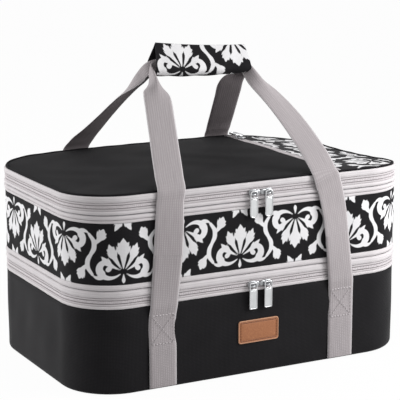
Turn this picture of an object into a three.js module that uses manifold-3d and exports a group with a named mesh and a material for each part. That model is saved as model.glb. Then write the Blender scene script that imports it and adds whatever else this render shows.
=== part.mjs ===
// Two-deck insulated casserole carrier, millimetres, +Z up, front at -Y, origin at the base centre.
import * as THREE from "three";
import Module from "manifold-3d";

const wasm = await Module();
wasm.setup();
const { Manifold } = wasm;

// Outer body in plan
const width = 420;
const depth = 262;
const cornerRadius = 60;
const cornerSteps = 7;
const bottomRadius = 5;
const filletSteps = 3;

// Heights of the bands, from the floor up
const baseHigh = 95.5;
const trimHigh = 4;
const zipHigh = 8.3;
const collarHigh = 8;
const weltHigh = 6.6;
const printHigh = 66.6;
const bindingHigh = 3.5;
const upperWeltHigh = 5.3;
const rimHigh = 5.1;
const lidStripHigh = 7.1;
const pipingHigh = 3.1;

// Fabric layers
const layerGap = 0.3;
const shellThick = 1.2;
const boardThick = 2.2;
const foamThick = 5;
const linerThick = 0.8;
const clothThick = 1;
const thinFoam = 3;
const dividerThick = 8.2;
const lidFoamThick = 5.3;
const bandBulge = 0.9;
const bandThick = 1.4;
const pipingWide = 3;

// Zips
const tapeGap = 0.8;
const tapeIn = 0.7;
const tapeThick = 0.9;
const coilThick = 1.9;
const coilHigh = 1.1;
const sliderLong = 14;
const plateThick = 1.5;
const sliderClear = 0.6;
const pinRadius = 0.8;
const eyeRadius = 1.9;
const pullLong = 25;
const pullWide = 10;
const pullThick = 1.6;
const leftSliderX = -6.1;
const rightSliderX = 12.9;
const pocketX = 107;
const pocketWide = 10;
const pocketSliderIn = 33;

// Leather label
const labelX = 2.2;
const labelZ = 50;
const labelWide = 51;
const labelHigh = 26;
const labelThick = 1.6;
const labelRadius = 3;

// Webbing and handle
const webWidth = 33;
const webThick = 1.8;
const strapClear = 1;
const strapFoot = 4;
const sewnHigh = 81;
const handleRise = 117.1;
const wrapLeft = -57;
const wrapRight = 60;
const gripOver = 3;
const gripThick = 7.4;
const gripHigh = 17;
const gripGap = 1.6;
const wrapThick = 3;
const closureThick = 0.7;

// Straps: signs of side and face, centre x at the floor and at the lid edge
const straps = {
  front_left: { side: -1, face: -1, foot: -0.277 * width, top: -0.254 * width },
  front_right: { side: 1, face: -1, foot: 0.264 * width, top: 0.221 * width },
  back_left: { side: -1, face: 1, foot: -0.26 * width, top: -0.237 * width },
  back_right: { side: 1, face: 1, foot: 0.257 * width, top: 0.225 * width },
};

// Levels worked out from the heights
const halfX = width / 2;
const halfY = depth / 2;
const baseTop = baseHigh;
const trimTop = baseTop + trimHigh;
const lowerClosure = trimTop + zipHigh / 2;
const collarBottom = trimTop + zipHigh;
const collarTop = collarBottom + collarHigh;
const weltTop = collarTop + weltHigh;
const printTop = weltTop + printHigh;
const bindingTop = printTop + bindingHigh;
const upperWeltTop = bindingTop + upperWeltHigh;
const rimTop = upperWeltTop + rimHigh;
const upperClosure = rimTop + zipHigh / 2;
const lidStripBottom = rimTop + zipHigh;
const lidStripTop = lidStripBottom + lidStripHigh;
const lidTop = lidStripTop + pipingHigh;
const handleZ = lidTop + handleRise;
const webIn = bandBulge + strapClear;
const sewnTop = strapFoot + sewnHigh;
const coilBack = tapeIn - 0.5 + coilThick;
const pinOut = bandBulge + 0.2 + plateThick + layerGap + eyeRadius;
const pinDrop = 1.9;

const cloth = (color) => ({ color, roughness: 0.92, metalness: 0 });
const finish = {
  black: cloth(0x29282a),
  trim: cloth(0xcfc9ca),
  webbing: cloth(0xa89fa2),
  print: cloth(0x7c7b7c),
  foam: cloth(0xe8e8e4),
  lining: { color: 0xb4b7bb, roughness: 0.45, metalness: 0.3 },
  board: { color: 0x3b3a38, roughness: 0.8, metalness: 0 },
  leather: { color: 0xb87850, roughness: 0.65, metalness: 0 },
  metal: { color: 0xc9c9cc, roughness: 0.3, metalness: 1 },
};

const root = new THREE.Group();
root.name = "casserole_carrier";
const groups = {};
for (const name of ["base", "deck", "rim", "lid", "zips", "straps", "handle"]) {
  groups[name] = new THREE.Group();
  groups[name].name = name + "_group";
  root.add(groups[name]);
}

function addMesh(group, name, look, geometry, place = [0, 0, 0]) {
  const mesh = new THREE.Mesh(geometry, new THREE.MeshStandardMaterial(finish[look]));
  mesh.name = name;
  mesh.position.set(...place);
  groups[group].add(mesh);
  return mesh;
}

// Closed triangle body that faces out
function bodyFrom(points, faces) {
  let volume = 0;
  for (const [a, b, c] of faces) {
    const [p, q, r] = [points[a], points[b], points[c]];
    volume += p[0] * (q[1] * r[2] - q[2] * r[1]);
    volume += p[1] * (q[2] * r[0] - q[0] * r[2]);
    volume += p[2] * (q[0] * r[1] - q[1] * r[0]);
  }
  const index = faces.flatMap(([a, b, c]) => (volume < 0 ? [a, c, b] : [a, b, c]));
  const geometry = new THREE.BufferGeometry();
  geometry.setAttribute("position", new THREE.Float32BufferAttribute(points.flat(), 3));
  geometry.setIndex(index);
  return geometry;
}

// Skin over rows of equal length, each row a closed loop; an open skin gets the cap triangles
function skinRows(rows, cap) {
  const n = rows[0].length;
  const faces = [];
  const last = cap ? rows.length - 1 : rows.length;
  for (let i = 0; i < last; i++) {
    const a = i * n;
    const b = ((i + 1) % rows.length) * n;
    for (let j = 0; j < n; j++) {
      const k = (j + 1) % n;
      faces.push([a + j, a + k, b + k], [a + j, b + k, b + j]);
    }
  }
  if (cap) {
    const end = (rows.length - 1) * n;
    for (const [p, q, r] of cap) {
      faces.push([p, r, q], [end + p, end + q, end + r]);
    }
  }
  return bodyFrom(rows.flat(), faces);
}

function fanCap(n) {
  return Array.from({ length: n - 2 }, (_, i) => [0, i + 1, i + 2]);
}

// Cap of any simple polygon, turned so that it runs with the polygon
function polygonCap(polygon) {
  const contour = polygon.map(([a, b]) => new THREE.Vector2(a, b));
  const clockwise = THREE.ShapeUtils.isClockWise(contour);
  return THREE.ShapeUtils.triangulateShape(contour, []).map(([a, b, c]) => {
    const [p, q, r] = [polygon[a], polygon[b], polygon[c]];
    const area = (q[0] - p[0]) * (r[1] - p[1]) - (q[1] - p[1]) * (r[0] - p[0]);
    return area < 0 === clockwise ? [a, b, c] : [a, c, b];
  });
}

// Rounded rectangle, set in by an inset, anticlockwise from the left end of the back edge
function outline(inset) {
  const r = cornerRadius - inset;
  const cx = halfX - cornerRadius;
  const cy = halfY - cornerRadius;
  const points = [];
  for (let q = 1; q < 5; q++) {
    const sx = q < 3 ? -1 : 1;
    const sy = q === 2 || q === 3 ? -1 : 1;
    for (let i = 0; i <= cornerSteps; i++) {
      const t = (Math.PI / 2) * (q + i / cornerSteps);
      points.push([sx * cx + r * Math.cos(t), sy * cy + r * Math.sin(t)]);
    }
  }
  return points;
}

const levelRow = ([inset, z]) => outline(inset).map(([x, y]) => [x, y, z]);

// Band all round with a closed section of [inset, z] points
function band(section) {
  return skinRows(section.map(levelRow));
}

function wallBand(inset, thick, z0, z1) {
  return band([[inset, z0], [inset, z1], [inset + thick, z1], [inset + thick, z0]]);
}

// Solid from stacked levels, capped at the first and the last
function stack(levels) {
  return skinRows(levels.map(levelRow), fanCap(4 * (cornerSteps + 1)));
}

function slab(inset, z0, z1) {
  return stack([[inset, z0], [inset, z1]]);
}

// Open tub with a rounded floor edge
function tub(inset, floor, radius, thick, top) {
  const fillet = (side, z, r) => Array.from({ length: filletSteps + 1 }, (_, i) => {
    const t = (Math.PI / 2) * (1 - i / filletSteps);
    return [side + r - r * Math.cos(t), z + r - r * Math.sin(t)];
  });
  const outer = fillet(inset, floor, radius);
  const inner = fillet(inset + thick, floor + thick, radius - thick).reverse();
  return stack([...outer, [inset, top], [inset + thick, top], ...inner]);
}

// Band on three sides: it starts and ends at the back corners
function threeSides(section) {
  const loops = section.map(levelRow);
  const rows = loops[0].map((_, j) => loops.map((loop) => loop[j]));
  return skinRows(rows, polygonCap(section));
}

// Straight prism along X from a polygon of [y, z] points
function prismX(polygon, x0, x1) {
  const rows = [x0, x1].map((x) => polygon.map(([y, z]) => [x, y, z]));
  return skinRows(rows, polygonCap(polygon));
}

function block(x0, x1, y0, y1, z0, z1) {
  return Manifold.cube([x1 - x0, y1 - y0, z1 - z0]).translate([x0, y0, z0]);
}

function rod(radius, halfLong) {
  return Manifold.cylinder(2 * halfLong, radius, radius, 12).rotate([0, 90, 0]).translate([-halfLong, 0, 0]);
}

function fromManifold(solid) {
  const mesh = solid.getMesh();
  const points = [];
  for (let i = 0; i < mesh.numVert; i++) {
    points.push(...mesh.vertProperties.subarray(i * mesh.numProp, i * mesh.numProp + 3));
  }
  const geometry = new THREE.BufferGeometry();
  geometry.setAttribute("position", new THREE.Float32BufferAttribute(points, 3));
  geometry.setIndex(Array.from(mesh.triVerts));
  return geometry;
}

function toManifold(geometry) {
  return new Manifold(
    new wasm.Mesh({
      numProp: 3,
      vertProperties: new Float32Array(geometry.getAttribute("position").array),
      triVerts: new Uint32Array(geometry.index.array),
    }),
  );
}

// Section of a cloth band that swells outward between two seams
function bandSection(z0, z1, bulge) {
  const edge = Math.min(1.2, (z1 - z0) / 3);
  return [
    [0.1, z0], [-bulge, z0 + edge], [-bulge, z1 - edge],
    [0.1, z1], [bandThick, z1], [bandThick, z0],
  ];
}

// Section of a zip tape with its coil along the closure; up is 1 for the tape under the coil
function tapeSection(edge, closure, up) {
  const coil = closure - up * tapeGap;
  const low = coil - up * coilHigh;
  const neck = low - up * 0.4;
  const tapeBack = tapeIn + tapeThick;
  return [
    [tapeIn, edge], [tapeIn, neck], [coilBack - coilThick, low], [coilBack - coilThick, coil],
    [coilBack, coil], [coilBack, low], [tapeBack, neck], [tapeBack, edge],
  ];
}

// Strip along the back wall, between the ends of a zip
function backStrip(z0, z1) {
  const half = halfX - cornerRadius - 0.5;
  return fromManifold(block(-half, half, halfY - bandThick, halfY, z0, z1));
}

// Base: shell, board, foam, lining, trim and the lower half of the lower zip
const foamIn = shellThick + layerGap;
const foamFloor = shellThick + boardThick + 2 * layerGap;
const foamRadius = 2 * bottomRadius + 0.5;
const linerIn = foamIn + foamThick + layerGap;
addMesh("base", "base_shell", "black", tub(0, 0, bottomRadius, shellThick, baseTop));
addMesh("base", "bottom_board", "board", slab(bottomRadius + 1, foamIn, foamIn + boardThick));
addMesh("base", "base_foam", "foam", tub(foamIn, foamFloor, foamRadius, foamThick, baseTop - 1.6));
addMesh("base", "base_liner", "lining", tub(
  linerIn, foamFloor + foamThick + layerGap, foamRadius - foamThick - layerGap, linerThick, baseTop - 0.6,
));
addMesh("base", "base_trim", "trim", band(bandSection(baseTop + layerGap, trimTop, 0.7)));
addMesh("zips", "lower_zip_tape_bottom", "trim", threeSides(tapeSection(trimTop + layerGap, lowerClosure, 1)));
addMesh("base", "lower_hinge_strip", "trim", backStrip(trimTop + layerGap, collarBottom - layerGap));

// Leather label with rounded corners, its face left bare
const label = new THREE.Shape();
const labelRight = labelWide / 2 - labelRadius;
const labelUp = labelHigh / 2 - labelRadius;
label.absarc(labelRight, labelUp, labelRadius, 0, Math.PI / 2);
label.absarc(-labelRight, labelUp, labelRadius, Math.PI / 2, Math.PI);
label.absarc(-labelRight, -labelUp, labelRadius, Math.PI, 1.5 * Math.PI);
label.absarc(labelRight, -labelUp, labelRadius, 1.5 * Math.PI, 2 * Math.PI);
const labelSolid = new THREE.ExtrudeGeometry(label, {
  depth: labelThick, bevelEnabled: false, curveSegments: 4,
});
addMesh(
  "base", "leather_patch", "leather", labelSolid, [labelX, -halfY - layerGap, labelZ],
).rotation.set(Math.PI / 2, 0, 0);

// Upper deck: it lifts as the lid of the lower compartment, with a padded floor of its own
const dividerIn = bandThick + 0.4;
const dividerFloor = collarBottom + 0.9;
const padBottom = dividerFloor + linerThick + layerGap;
const padTop = padBottom + dividerThick;
const gussetFoamIn = bandThick + layerGap;
const gussetLinerIn = gussetFoamIn + thinFoam + layerGap;
const splitZ = printTop - 1.5;
const liningTop = rimTop - 0.4;
addMesh("zips", "lower_zip_tape_top", "trim", threeSides(
  tapeSection(collarBottom - layerGap, lowerClosure, -1),
));
addMesh("deck", "deck_collar", "trim", band(bandSection(collarBottom, collarTop, bandBulge)));
addMesh("deck", "lower_welt", "trim", band(bandSection(collarTop + layerGap, weltTop, bandBulge)));
addMesh("deck", "divider_liner", "lining", slab(dividerIn + 0.6, dividerFloor, dividerFloor + linerThick));
addMesh("deck", "divider_pad", "foam", stack([
  [dividerIn + 0.8, padBottom], [dividerIn, padBottom + 1.6],
  [dividerIn, padTop - 1.6], [dividerIn + 0.8, padTop],
]));
addMesh("deck", "gusset_print", "print", wallBand(0, clothThick, weltTop + layerGap, printTop));
addMesh("deck", "gusset_foam", "foam", wallBand(gussetFoamIn, thinFoam, padTop + layerGap, splitZ));
addMesh("deck", "gusset_liner", "lining", wallBand(
  gussetLinerIn, linerThick, padTop + layerGap, liningTop,
));

// Rim: it slides down as the printed wall folds away
addMesh("rim", "print_binding", "trim", band(bandSection(printTop + layerGap, bindingTop, 0.5)));
addMesh("rim", "upper_welt", "trim", band(bandSection(bindingTop + layerGap, upperWeltTop, bandBulge)));
addMesh("rim", "rim_collar", "trim", band(bandSection(upperWeltTop + layerGap, rimTop, bandBulge)));
addMesh("rim", "rim_foam", "foam", wallBand(gussetFoamIn, thinFoam, splitZ + layerGap, liningTop));
addMesh("zips", "upper_zip_tape_bottom", "trim", threeSides(tapeSection(rimTop + layerGap, upperClosure, 1)));
addMesh("rim", "upper_hinge_strip", "trim", backStrip(rimTop + layerGap, lidStripTop));

// Lid: side strip and zip tape on three sides, rolled seam, and a cover split by the pocket zip
const layerIn = coilBack + sliderClear + plateThick + 0.8;
const coverBottom = lidStripTop + 0.5;
const coverIn = pipingWide - 0.1;
const pipeLow = lidStripTop + layerGap;
const pipeRound = 0.8;
const lidFoamTop = coverBottom - clothThick - 0.2;
const lidFoamBottom = lidFoamTop - lidFoamThick;
const grooveDeep = 1.2;
const farOut = 2 * width;
addMesh("zips", "upper_zip_tape_top", "trim", threeSides(
  tapeSection(lidStripBottom - layerGap, upperClosure, -1),
));
addMesh("lid", "lid_side_strip", "trim", threeSides(bandSection(lidStripBottom, lidStripTop, 0.8)));
addMesh("lid", "lid_piping", "black", band([
  [-0.6, pipeLow + pipeRound], [-0.6, lidTop - pipeRound],
  [pipeRound - 0.6, lidTop], [pipingWide - 0.6 - pipeRound, lidTop],
  [pipingWide - 0.6, lidTop - pipeRound], [pipingWide - 0.6, pipeLow + pipeRound],
  [pipingWide - 0.6 - pipeRound, pipeLow], [pipeRound - 0.6, pipeLow],
]));
addMesh("lid", "lid_liner", "lining", slab(
  layerIn + 0.2, lidFoamBottom - layerGap - linerThick, lidFoamBottom - layerGap,
));
addMesh("lid", "lid_foam", "foam", stack([
  [layerIn + 1, lidFoamBottom], [layerIn, lidFoamBottom + 1.2],
  [layerIn, lidFoamTop - 1.2], [layerIn + 1, lidFoamTop],
]));
const cover = toManifold(stack([
  [coverIn + 0.1, coverBottom], [coverIn, coverBottom + 0.8],
  [coverIn + 0.7, lidTop - 0.7], [coverIn + 2.6, lidTop],
]));
const coverSlice = (x0, x1) => cover.intersect(block(x0, x1, -farOut, farOut, 0, farOut));
const tapeLeft = pocketX - pocketWide / 2;
const tapeRight = pocketX + pocketWide / 2;
const groove = block(
  pocketX - tapeGap, pocketX + tapeGap, 10 - halfY, halfY - 10, lidTop - grooveDeep, farOut,
);
addMesh("lid", "lid_top_panel", "black", fromManifold(coverSlice(-farOut, tapeLeft - layerGap / 2)));
addMesh("lid", "pocket_panel", "print", fromManifold(coverSlice(tapeRight + layerGap / 2, farOut)));
addMesh("zips", "pocket_zip_tape", "trim", fromManifold(
  coverSlice(tapeLeft + layerGap / 2, tapeRight - layerGap / 2).subtract(groove),
));
const backing = toManifold(slab(layerIn, lidFoamTop + layerGap, coverBottom - layerGap));
addMesh("lid", "pocket_backing", "black", fromManifold(
  backing.intersect(block(tapeLeft - 14, farOut, -farOut, farOut, 0, farOut)),
));

// Ears and pin that carry a pull: plate face at y = 0, outward -Y, pin at its own height
const earOut = pinOut + 1.2;
function pullEars(face) {
  const ear = (side) => {
    const x = side * (pullWide / 2 - 0.95);
    return block(x - 0.65, x + 0.65, -earOut, face + 0.1, -pinDrop - 1.5, -pinDrop + 1.5);
  };
  return ear(-1)
    .add(ear(1))
    .add(rod(pinRadius, pullWide / 2 - 1).translate([0, -pinOut, -pinDrop]));
}

// Slider on a front zip: two plates and a neck through the coil gap, open at both tape edges
function frontSlider() {
  const half = sliderLong / 2;
  const high = zipHigh / 2 - 0.65;
  const front = -bandBulge - 0.2;
  const back = coilBack + sliderClear;
  return block(-half, half, front - plateThick, front, -high, high)
    .add(block(1.5 - half, half - 1.5, back, back + plateThick - 0.2, 0.3 - high, high - 0.3))
    .add(block(-1.6, 1.6, front - 0.1, back + 0.1, -tapeGap / 2, tapeGap / 2))
    .add(pullEars(front - plateThick));
}

// Flat bar pull with a sunk face and an eye for the pin, pin at the origin, hanging to -Z
function pullTab() {
  const half = pullWide / 2;
  const thin = pullThick / 2;
  const shoulder = eyeRadius + 0.7;
  return rod(eyeRadius, half - 2)
    .add(block(2 - half, half - 2, -thin, thin, -shoulder - 1, 0))
    .add(block(-half, half, -thin, thin, -pullLong - shoulder, -shoulder))
    .subtract(rod(pinRadius + layerGap, half))
    .subtract(block(1.3 - half, half - 1.3, -farOut, -thin / 2, 1.3 - pullLong - shoulder, -shoulder - 2.4));
}

for (const [level, z] of [["lower", lowerClosure], ["upper", upperClosure]]) {
  for (const [side, x] of [["left", leftSliderX], ["right", rightSliderX]]) {
    const name = level + "_" + side;
    addMesh("zips", name + "_slider", "metal", fromManifold(frontSlider()), [x, -halfY, z]);
    addMesh("zips", name + "_pull", "metal", fromManifold(pullTab()), [x, -halfY - pinOut, z - pinDrop]);
  }
}

// Pocket slider on the lid: plate, keel in the tape's groove, ears, and a pull lying to the back
const pocketPlateTop = layerGap + plateThick;
const pocketPinZ = pocketPlateTop + layerGap + eyeRadius;
const pocketY = halfY - pocketSliderIn;
const pocketSlider = block(-4.5, 4.5, -sliderLong / 2, sliderLong / 2, layerGap, pocketPlateTop)
  .add(block(-tapeGap / 2, tapeGap / 2, -5, 5, layerGap - grooveDeep, layerGap + 0.1))
  .add(pullEars(0).rotate([-90, 0, 0]).translate([0, pinDrop, pocketPinZ - pinOut])
    .intersect(block(-farOut, farOut, -farOut, farOut, pocketPlateTop - 0.1, farOut)));
addMesh("zips", "pocket_slider", "metal", fromManifold(pocketSlider), [pocketX, pocketY, lidTop]);
addMesh(
  "zips", "pocket_pull", "metal", fromManifold(pullTab().rotate([0, 0, 180])),
  [pocketX, pocketY, lidTop + pocketPinZ],
).rotation.set(Math.PI / 2, 0, 0);

// Straps: sewn tail, free leg along the wall, upper leg that folds into the handle
function rectRow(center, across, normal, halfW, halfT) {
  return [[-1, -1], [1, -1], [1, 1], [-1, 1]].map(([a, b]) =>
    center.clone().addScaledVector(across, a * halfW).addScaledVector(normal, b * halfT).toArray(),
  );
}

function wallRibbon(strap, stations) {
  const across = new THREE.Vector3(1, 0, 0);
  const normal = new THREE.Vector3(0, strap.face, 0);
  const rows = stations.map(([z, gap]) => {
    const x = strap.foot + (strap.top - strap.foot) * (z / lidTop);
    const center = new THREE.Vector3(x, strap.face * (halfY + gap + webThick / 2), z);
    return rectRow(center, across, normal, webWidth / 2, webThick / 2);
  });
  return skinRows(rows, fanCap(4));
}

function upperLeg({ side, face, top }) {
  const halfW = webWidth / 2;
  const halfT = webThick / 2;
  const wallY = halfY + webIn + halfT;
  const endX = side < 0 ? wrapLeft - gripOver - layerGap : wrapRight + gripOver + layerGap;
  const gripY = (gripGap + gripThick) / 2;
  const start = new THREE.Vector3(top, face * (wallY - 3.4), lidTop + 5.6);
  const finish = new THREE.Vector3(endX + side * 9, face * (gripY + 5), handleZ - 4.5);
  const across = new THREE.Vector3(-side, 0, 0);
  const turned = new THREE.Vector3(-side * 0.55, face * 0.35, -0.75);
  const down = new THREE.Vector3(0, 0, -1);
  const run = (t) => start.clone().lerp(finish, t);
  const twist = (t) => across.clone().lerp(turned, t);
  const stations = [
    [new THREE.Vector3(top, face * wallY, lidTop + layerGap), across, halfW, halfT],
    [new THREE.Vector3(top, face * (wallY - 0.7), lidTop + 2.6), across, halfW, halfT],
    [run(0.02), across, halfW, halfT],
    [run(0.35), across, halfW, halfT],
    [run(0.62), twist(0.12), halfW - 0.6, halfT],
    [run(0.8), twist(0.4), 0.79 * halfW, 1.5 * halfT],
    [run(0.93), twist(0.8), 0.64 * halfW, 2.4 * halfT],
    [run(1), turned, 0.55 * halfW, 0.8 * gripThick / 2],
    [new THREE.Vector3(endX, face * gripY, handleZ), down, gripHigh / 2, gripThick / 2],
  ];
  const rows = stations.map(([center, wide, wideHalf, thickHalf], i) => {
    const before = stations[Math.max(i - 1, 0)][0];
    const after = stations[Math.min(i + 1, stations.length - 1)][0];
    const along = after.clone().sub(before).normalize();
    if (i === 0) along.set(0, 0, 1);
    if (i === stations.length - 1) along.set(-side, 0, 0);
    const w = wide.clone().addScaledVector(along, -wide.dot(along)).normalize();
    return rectRow(center, w, new THREE.Vector3().crossVectors(along, w), wideHalf, thickHalf);
  });
  return skinRows(rows, fanCap(4));
}

for (const [name, strap] of Object.entries(straps)) {
  addMesh("straps", name + "_tail", "webbing", wallRibbon(
    strap, [[strapFoot, layerGap], [sewnTop - 9, layerGap], [sewnTop, webIn]],
  ));
  addMesh("straps", name + "_leg", "webbing", wallRibbon(
    strap, [[sewnTop + layerGap, webIn], [lidTop, webIn]],
  ));
  addMesh("straps", name + "_upper", "webbing", upperLeg(strap));
}

// Folded grips inside the wrap
const wrapDepth = gripGap / 2 + gripThick + 2.4;
const wrapHigh = gripHigh / 2 + 5.6;
for (const [name, face] of [["front_grip", -1], ["back_grip", 1]]) {
  const y = face * (gripGap + gripThick) / 2;
  const grip = new THREE.BoxGeometry(wrapRight - wrapLeft + 2 * gripOver, gripThick, gripHigh);
  addMesh("handle", name, "webbing", grip, [(wrapLeft + wrapRight) / 2, y, handleZ]);
}

// Strip of the wrap between two angles, 0 at the back and 90 at the top; lift pushes it outward
function wrapArc(from, to, offset, thick, lift) {
  const steps = Math.max(4, Math.round(Math.abs(to - from) / 15));
  const edge = (out) => Array.from({ length: steps + 1 }, (_, i) => {
    const deg = from + ((to - from) * i) / steps;
    const t = THREE.MathUtils.degToRad(deg);
    const r = out + lift(deg);
    return [(wrapDepth + r) * Math.cos(t), handleZ + (wrapHigh + r) * Math.sin(t)];
  });
  return [...edge(offset), ...edge(offset + thick).reverse()];
}
const closureIn = 6;
const loopOut = wrapThick + 0.15;
const hookOut = loopOut + closureThick + 0.15;
const flapLift = hookOut + closureThick + 0.2;
const flat = () => 0;
const spiral = (deg) => flapLift * THREE.MathUtils.smoothstep(deg, 198, 243);
const stripEnds = [wrapLeft + closureIn, wrapRight - closureIn];
addMesh("handle", "handle_wrap", "print", prismX(wrapArc(89, -112, 0, wrapThick, flat), wrapLeft, wrapRight));
addMesh("handle", "wrap_flap", "print", prismX(wrapArc(91, 290, 0, wrapThick, spiral), wrapLeft, wrapRight));
addMesh("handle", "loop_strip", "black", prismX(wrapArc(-102, -73, loopOut, closureThick, flat), ...stripEnds));
addMesh("handle", "hook_strip", "black", prismX(wrapArc(258, 287, hookOut, closureThick, flat), ...stripEnds));

export default root;
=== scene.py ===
import math

import bpy
import numpy as np
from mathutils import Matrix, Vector


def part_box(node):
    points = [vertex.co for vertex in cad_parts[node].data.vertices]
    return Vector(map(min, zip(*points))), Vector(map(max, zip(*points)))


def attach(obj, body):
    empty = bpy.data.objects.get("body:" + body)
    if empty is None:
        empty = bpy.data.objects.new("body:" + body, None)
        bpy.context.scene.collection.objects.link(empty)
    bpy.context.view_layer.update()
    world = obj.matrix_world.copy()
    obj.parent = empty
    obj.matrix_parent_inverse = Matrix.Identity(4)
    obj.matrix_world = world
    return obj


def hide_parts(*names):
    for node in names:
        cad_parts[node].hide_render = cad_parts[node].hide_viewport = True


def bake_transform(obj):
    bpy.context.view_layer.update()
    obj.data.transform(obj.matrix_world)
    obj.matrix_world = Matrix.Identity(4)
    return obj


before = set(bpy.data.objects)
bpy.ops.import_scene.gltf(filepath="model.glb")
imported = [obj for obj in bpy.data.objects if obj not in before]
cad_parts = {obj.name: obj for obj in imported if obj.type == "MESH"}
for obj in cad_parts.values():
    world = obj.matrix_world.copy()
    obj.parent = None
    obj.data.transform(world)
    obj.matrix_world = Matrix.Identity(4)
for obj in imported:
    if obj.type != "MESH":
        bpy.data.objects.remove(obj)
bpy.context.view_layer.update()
mm = 0.001
scene = bpy.context.scene
scene.view_settings.view_transform = "Standard"
print("frame loaded,", len(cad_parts), "nodes")

# camera of the photograph, found from the carrier's own edges; degrees and mm
photoView = {
    "azimuth": -28.06, "elevation": 12.46, "distance": 1875.6, "lens": 144.77, "target": (-0.5, 0, 172.4),
}
turn, lift = math.radians(photoView["azimuth"]), math.radians(photoView["elevation"])
towardCamera = Vector((math.sin(turn) * math.cos(lift), -math.cos(turn) * math.cos(lift), math.sin(lift)))
camera = bpy.data.objects.new("photoCamera", bpy.data.cameras.new("photoCamera"))
camera.data.lens = photoView["lens"]
camera.location = (Vector(photoView["target"]) + towardCamera * photoView["distance"]) * mm
camera.rotation_euler = (-towardCamera).to_track_quat("-Z", "Y").to_euler()
scene.collection.objects.link(camera)
scene.camera = camera


def linearColour(code):
    # sRGB hex to linear light
    parts = [int(code[i : i + 2], 16) / 255 for i in (1, 3, 5)]
    return [c / 12.92 if c <= 0.04045 else ((c + 0.055) / 1.055) ** 2.4 for c in parts] + [1.0]


def addNode(tree, kind, settings=()):
    # one node: a key that names a socket links it or sets its value, any other key sets the node
    node = tree.nodes.new("ShaderNode" + kind)
    for key, value in dict(settings).items():
        if not isinstance(key, int) and key not in node.inputs:
            setattr(node, key, value)
        elif isinstance(value, bpy.types.NodeSocket):
            tree.links.new(value, node.inputs[key])
        else:
            node.inputs[key].default_value = value
    return node


def startMaterial(name, look):
    # shader with the values that are the same all over
    material = bpy.data.materials.new(name)
    material.use_nodes = True
    shader = material.node_tree.nodes["Principled BSDF"]
    for key, value in look.items():
        shader.inputs[key].default_value = value
    return material, material.node_tree, shader


# Stage, in metres and watts

stageLook = {"world": 0.59, "shadow": 0.06, "glow": 1.02, "paper": 0.6, "floor": 6.0, "aim": 0.17}
softboxes = {
    "leftSoftbox": {"place": (-1.35, 1.1, 0.6), "size": 1.1, "watts": 23.0},
    "rightSoftbox": {"place": (0.62, -0.54, 0.54), "size": 0.5, "watts": 7.2},
}
for name, box in softboxes.items():
    # square lamp that faces the carrier's middle
    lamp = bpy.data.objects.new(name, bpy.data.lights.new(name, "AREA"))
    lamp.data.size = box["size"]
    lamp.data.energy = box["watts"]
    lamp.location = box["place"]
    toCarrier = Vector((0, 0, stageLook["aim"])) - Vector(box["place"])
    lamp.rotation_euler = toCarrier.to_track_quat("-Z", "Y").to_euler()
    scene.collection.objects.link(lamp)


def seenDirectly(tree):
    # 1 for rays from the camera or off metal or through glass
    path = addNode(tree, "LightPath")
    either = addNode(tree, "Math", {
        "operation": "MAXIMUM", 0: path.outputs["Is Camera Ray"], 1: path.outputs["Is Glossy Ray"],
    })
    last = addNode(tree, "Math", {
        "operation": "MAXIMUM", 0: either.outputs[0], 1: path.outputs["Is Transmission Ray"],
    })
    return last.outputs[0]


world = bpy.data.worlds.new("whiteRoom")
scene.world = world
world.use_nodes = True
worldTree = world.node_tree
background = worldTree.nodes["Background"]
strength = addNode(worldTree, "MapRange", {
    "Value": seenDirectly(worldTree), "To Min": stageLook["world"], "To Max": 1.0,
})
worldTree.links.new(strength.outputs[0], background.inputs["Strength"])
background.inputs["Color"].default_value = (1, 1, 1, 1)

floorWide = stageLook["floor"]
floorMesh = bpy.data.meshes.new("floor")
floorMesh.from_pydata(
    [(x * floorWide, y * floorWide, 0) for x, y in ((-1, -1), (1, -1), (1, 1), (-1, 1))], [], [(0, 1, 2, 3)]
)
floor = bpy.data.objects.new("floor", floorMesh)
scene.collection.objects.link(floor)
# Matt white paper, lit from behind so that it shows white with a faint shadow
paper, paperTree, paperShader = startMaterial(
    "whitePaper",
    {"Base Color": [stageLook["paper"]] * 3 + [1], "Roughness": 0.95, "Specular IOR Level": 0.0},
)
glow = addNode(paperTree, "Emission", {"Strength": stageLook["glow"]})
share = addNode(paperTree, "Math", {
    "operation": "MULTIPLY", 0: seenDirectly(paperTree), 1: 1 - stageLook["shadow"],
})
mixed = addNode(paperTree, "MixShader", {0: share.outputs[0], 1: paperShader.outputs[0], 2: glow.outputs[0]})
paperTree.links.new(mixed.outputs[0], paperTree.nodes["Material Output"].inputs["Surface"])
floorMesh.materials.append(paper)
print("camera, lamps and floor made")


# Materials

# scale of the wave pattern that sets its bands 1 mm apart, and widths in mm that soften an edge of colour
weaveLook = {"X": 0.314, "Y": 0.314, "DIAGONAL": 0.444, "rimBlur": 0.6, "inkBlur": 0.3}


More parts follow.
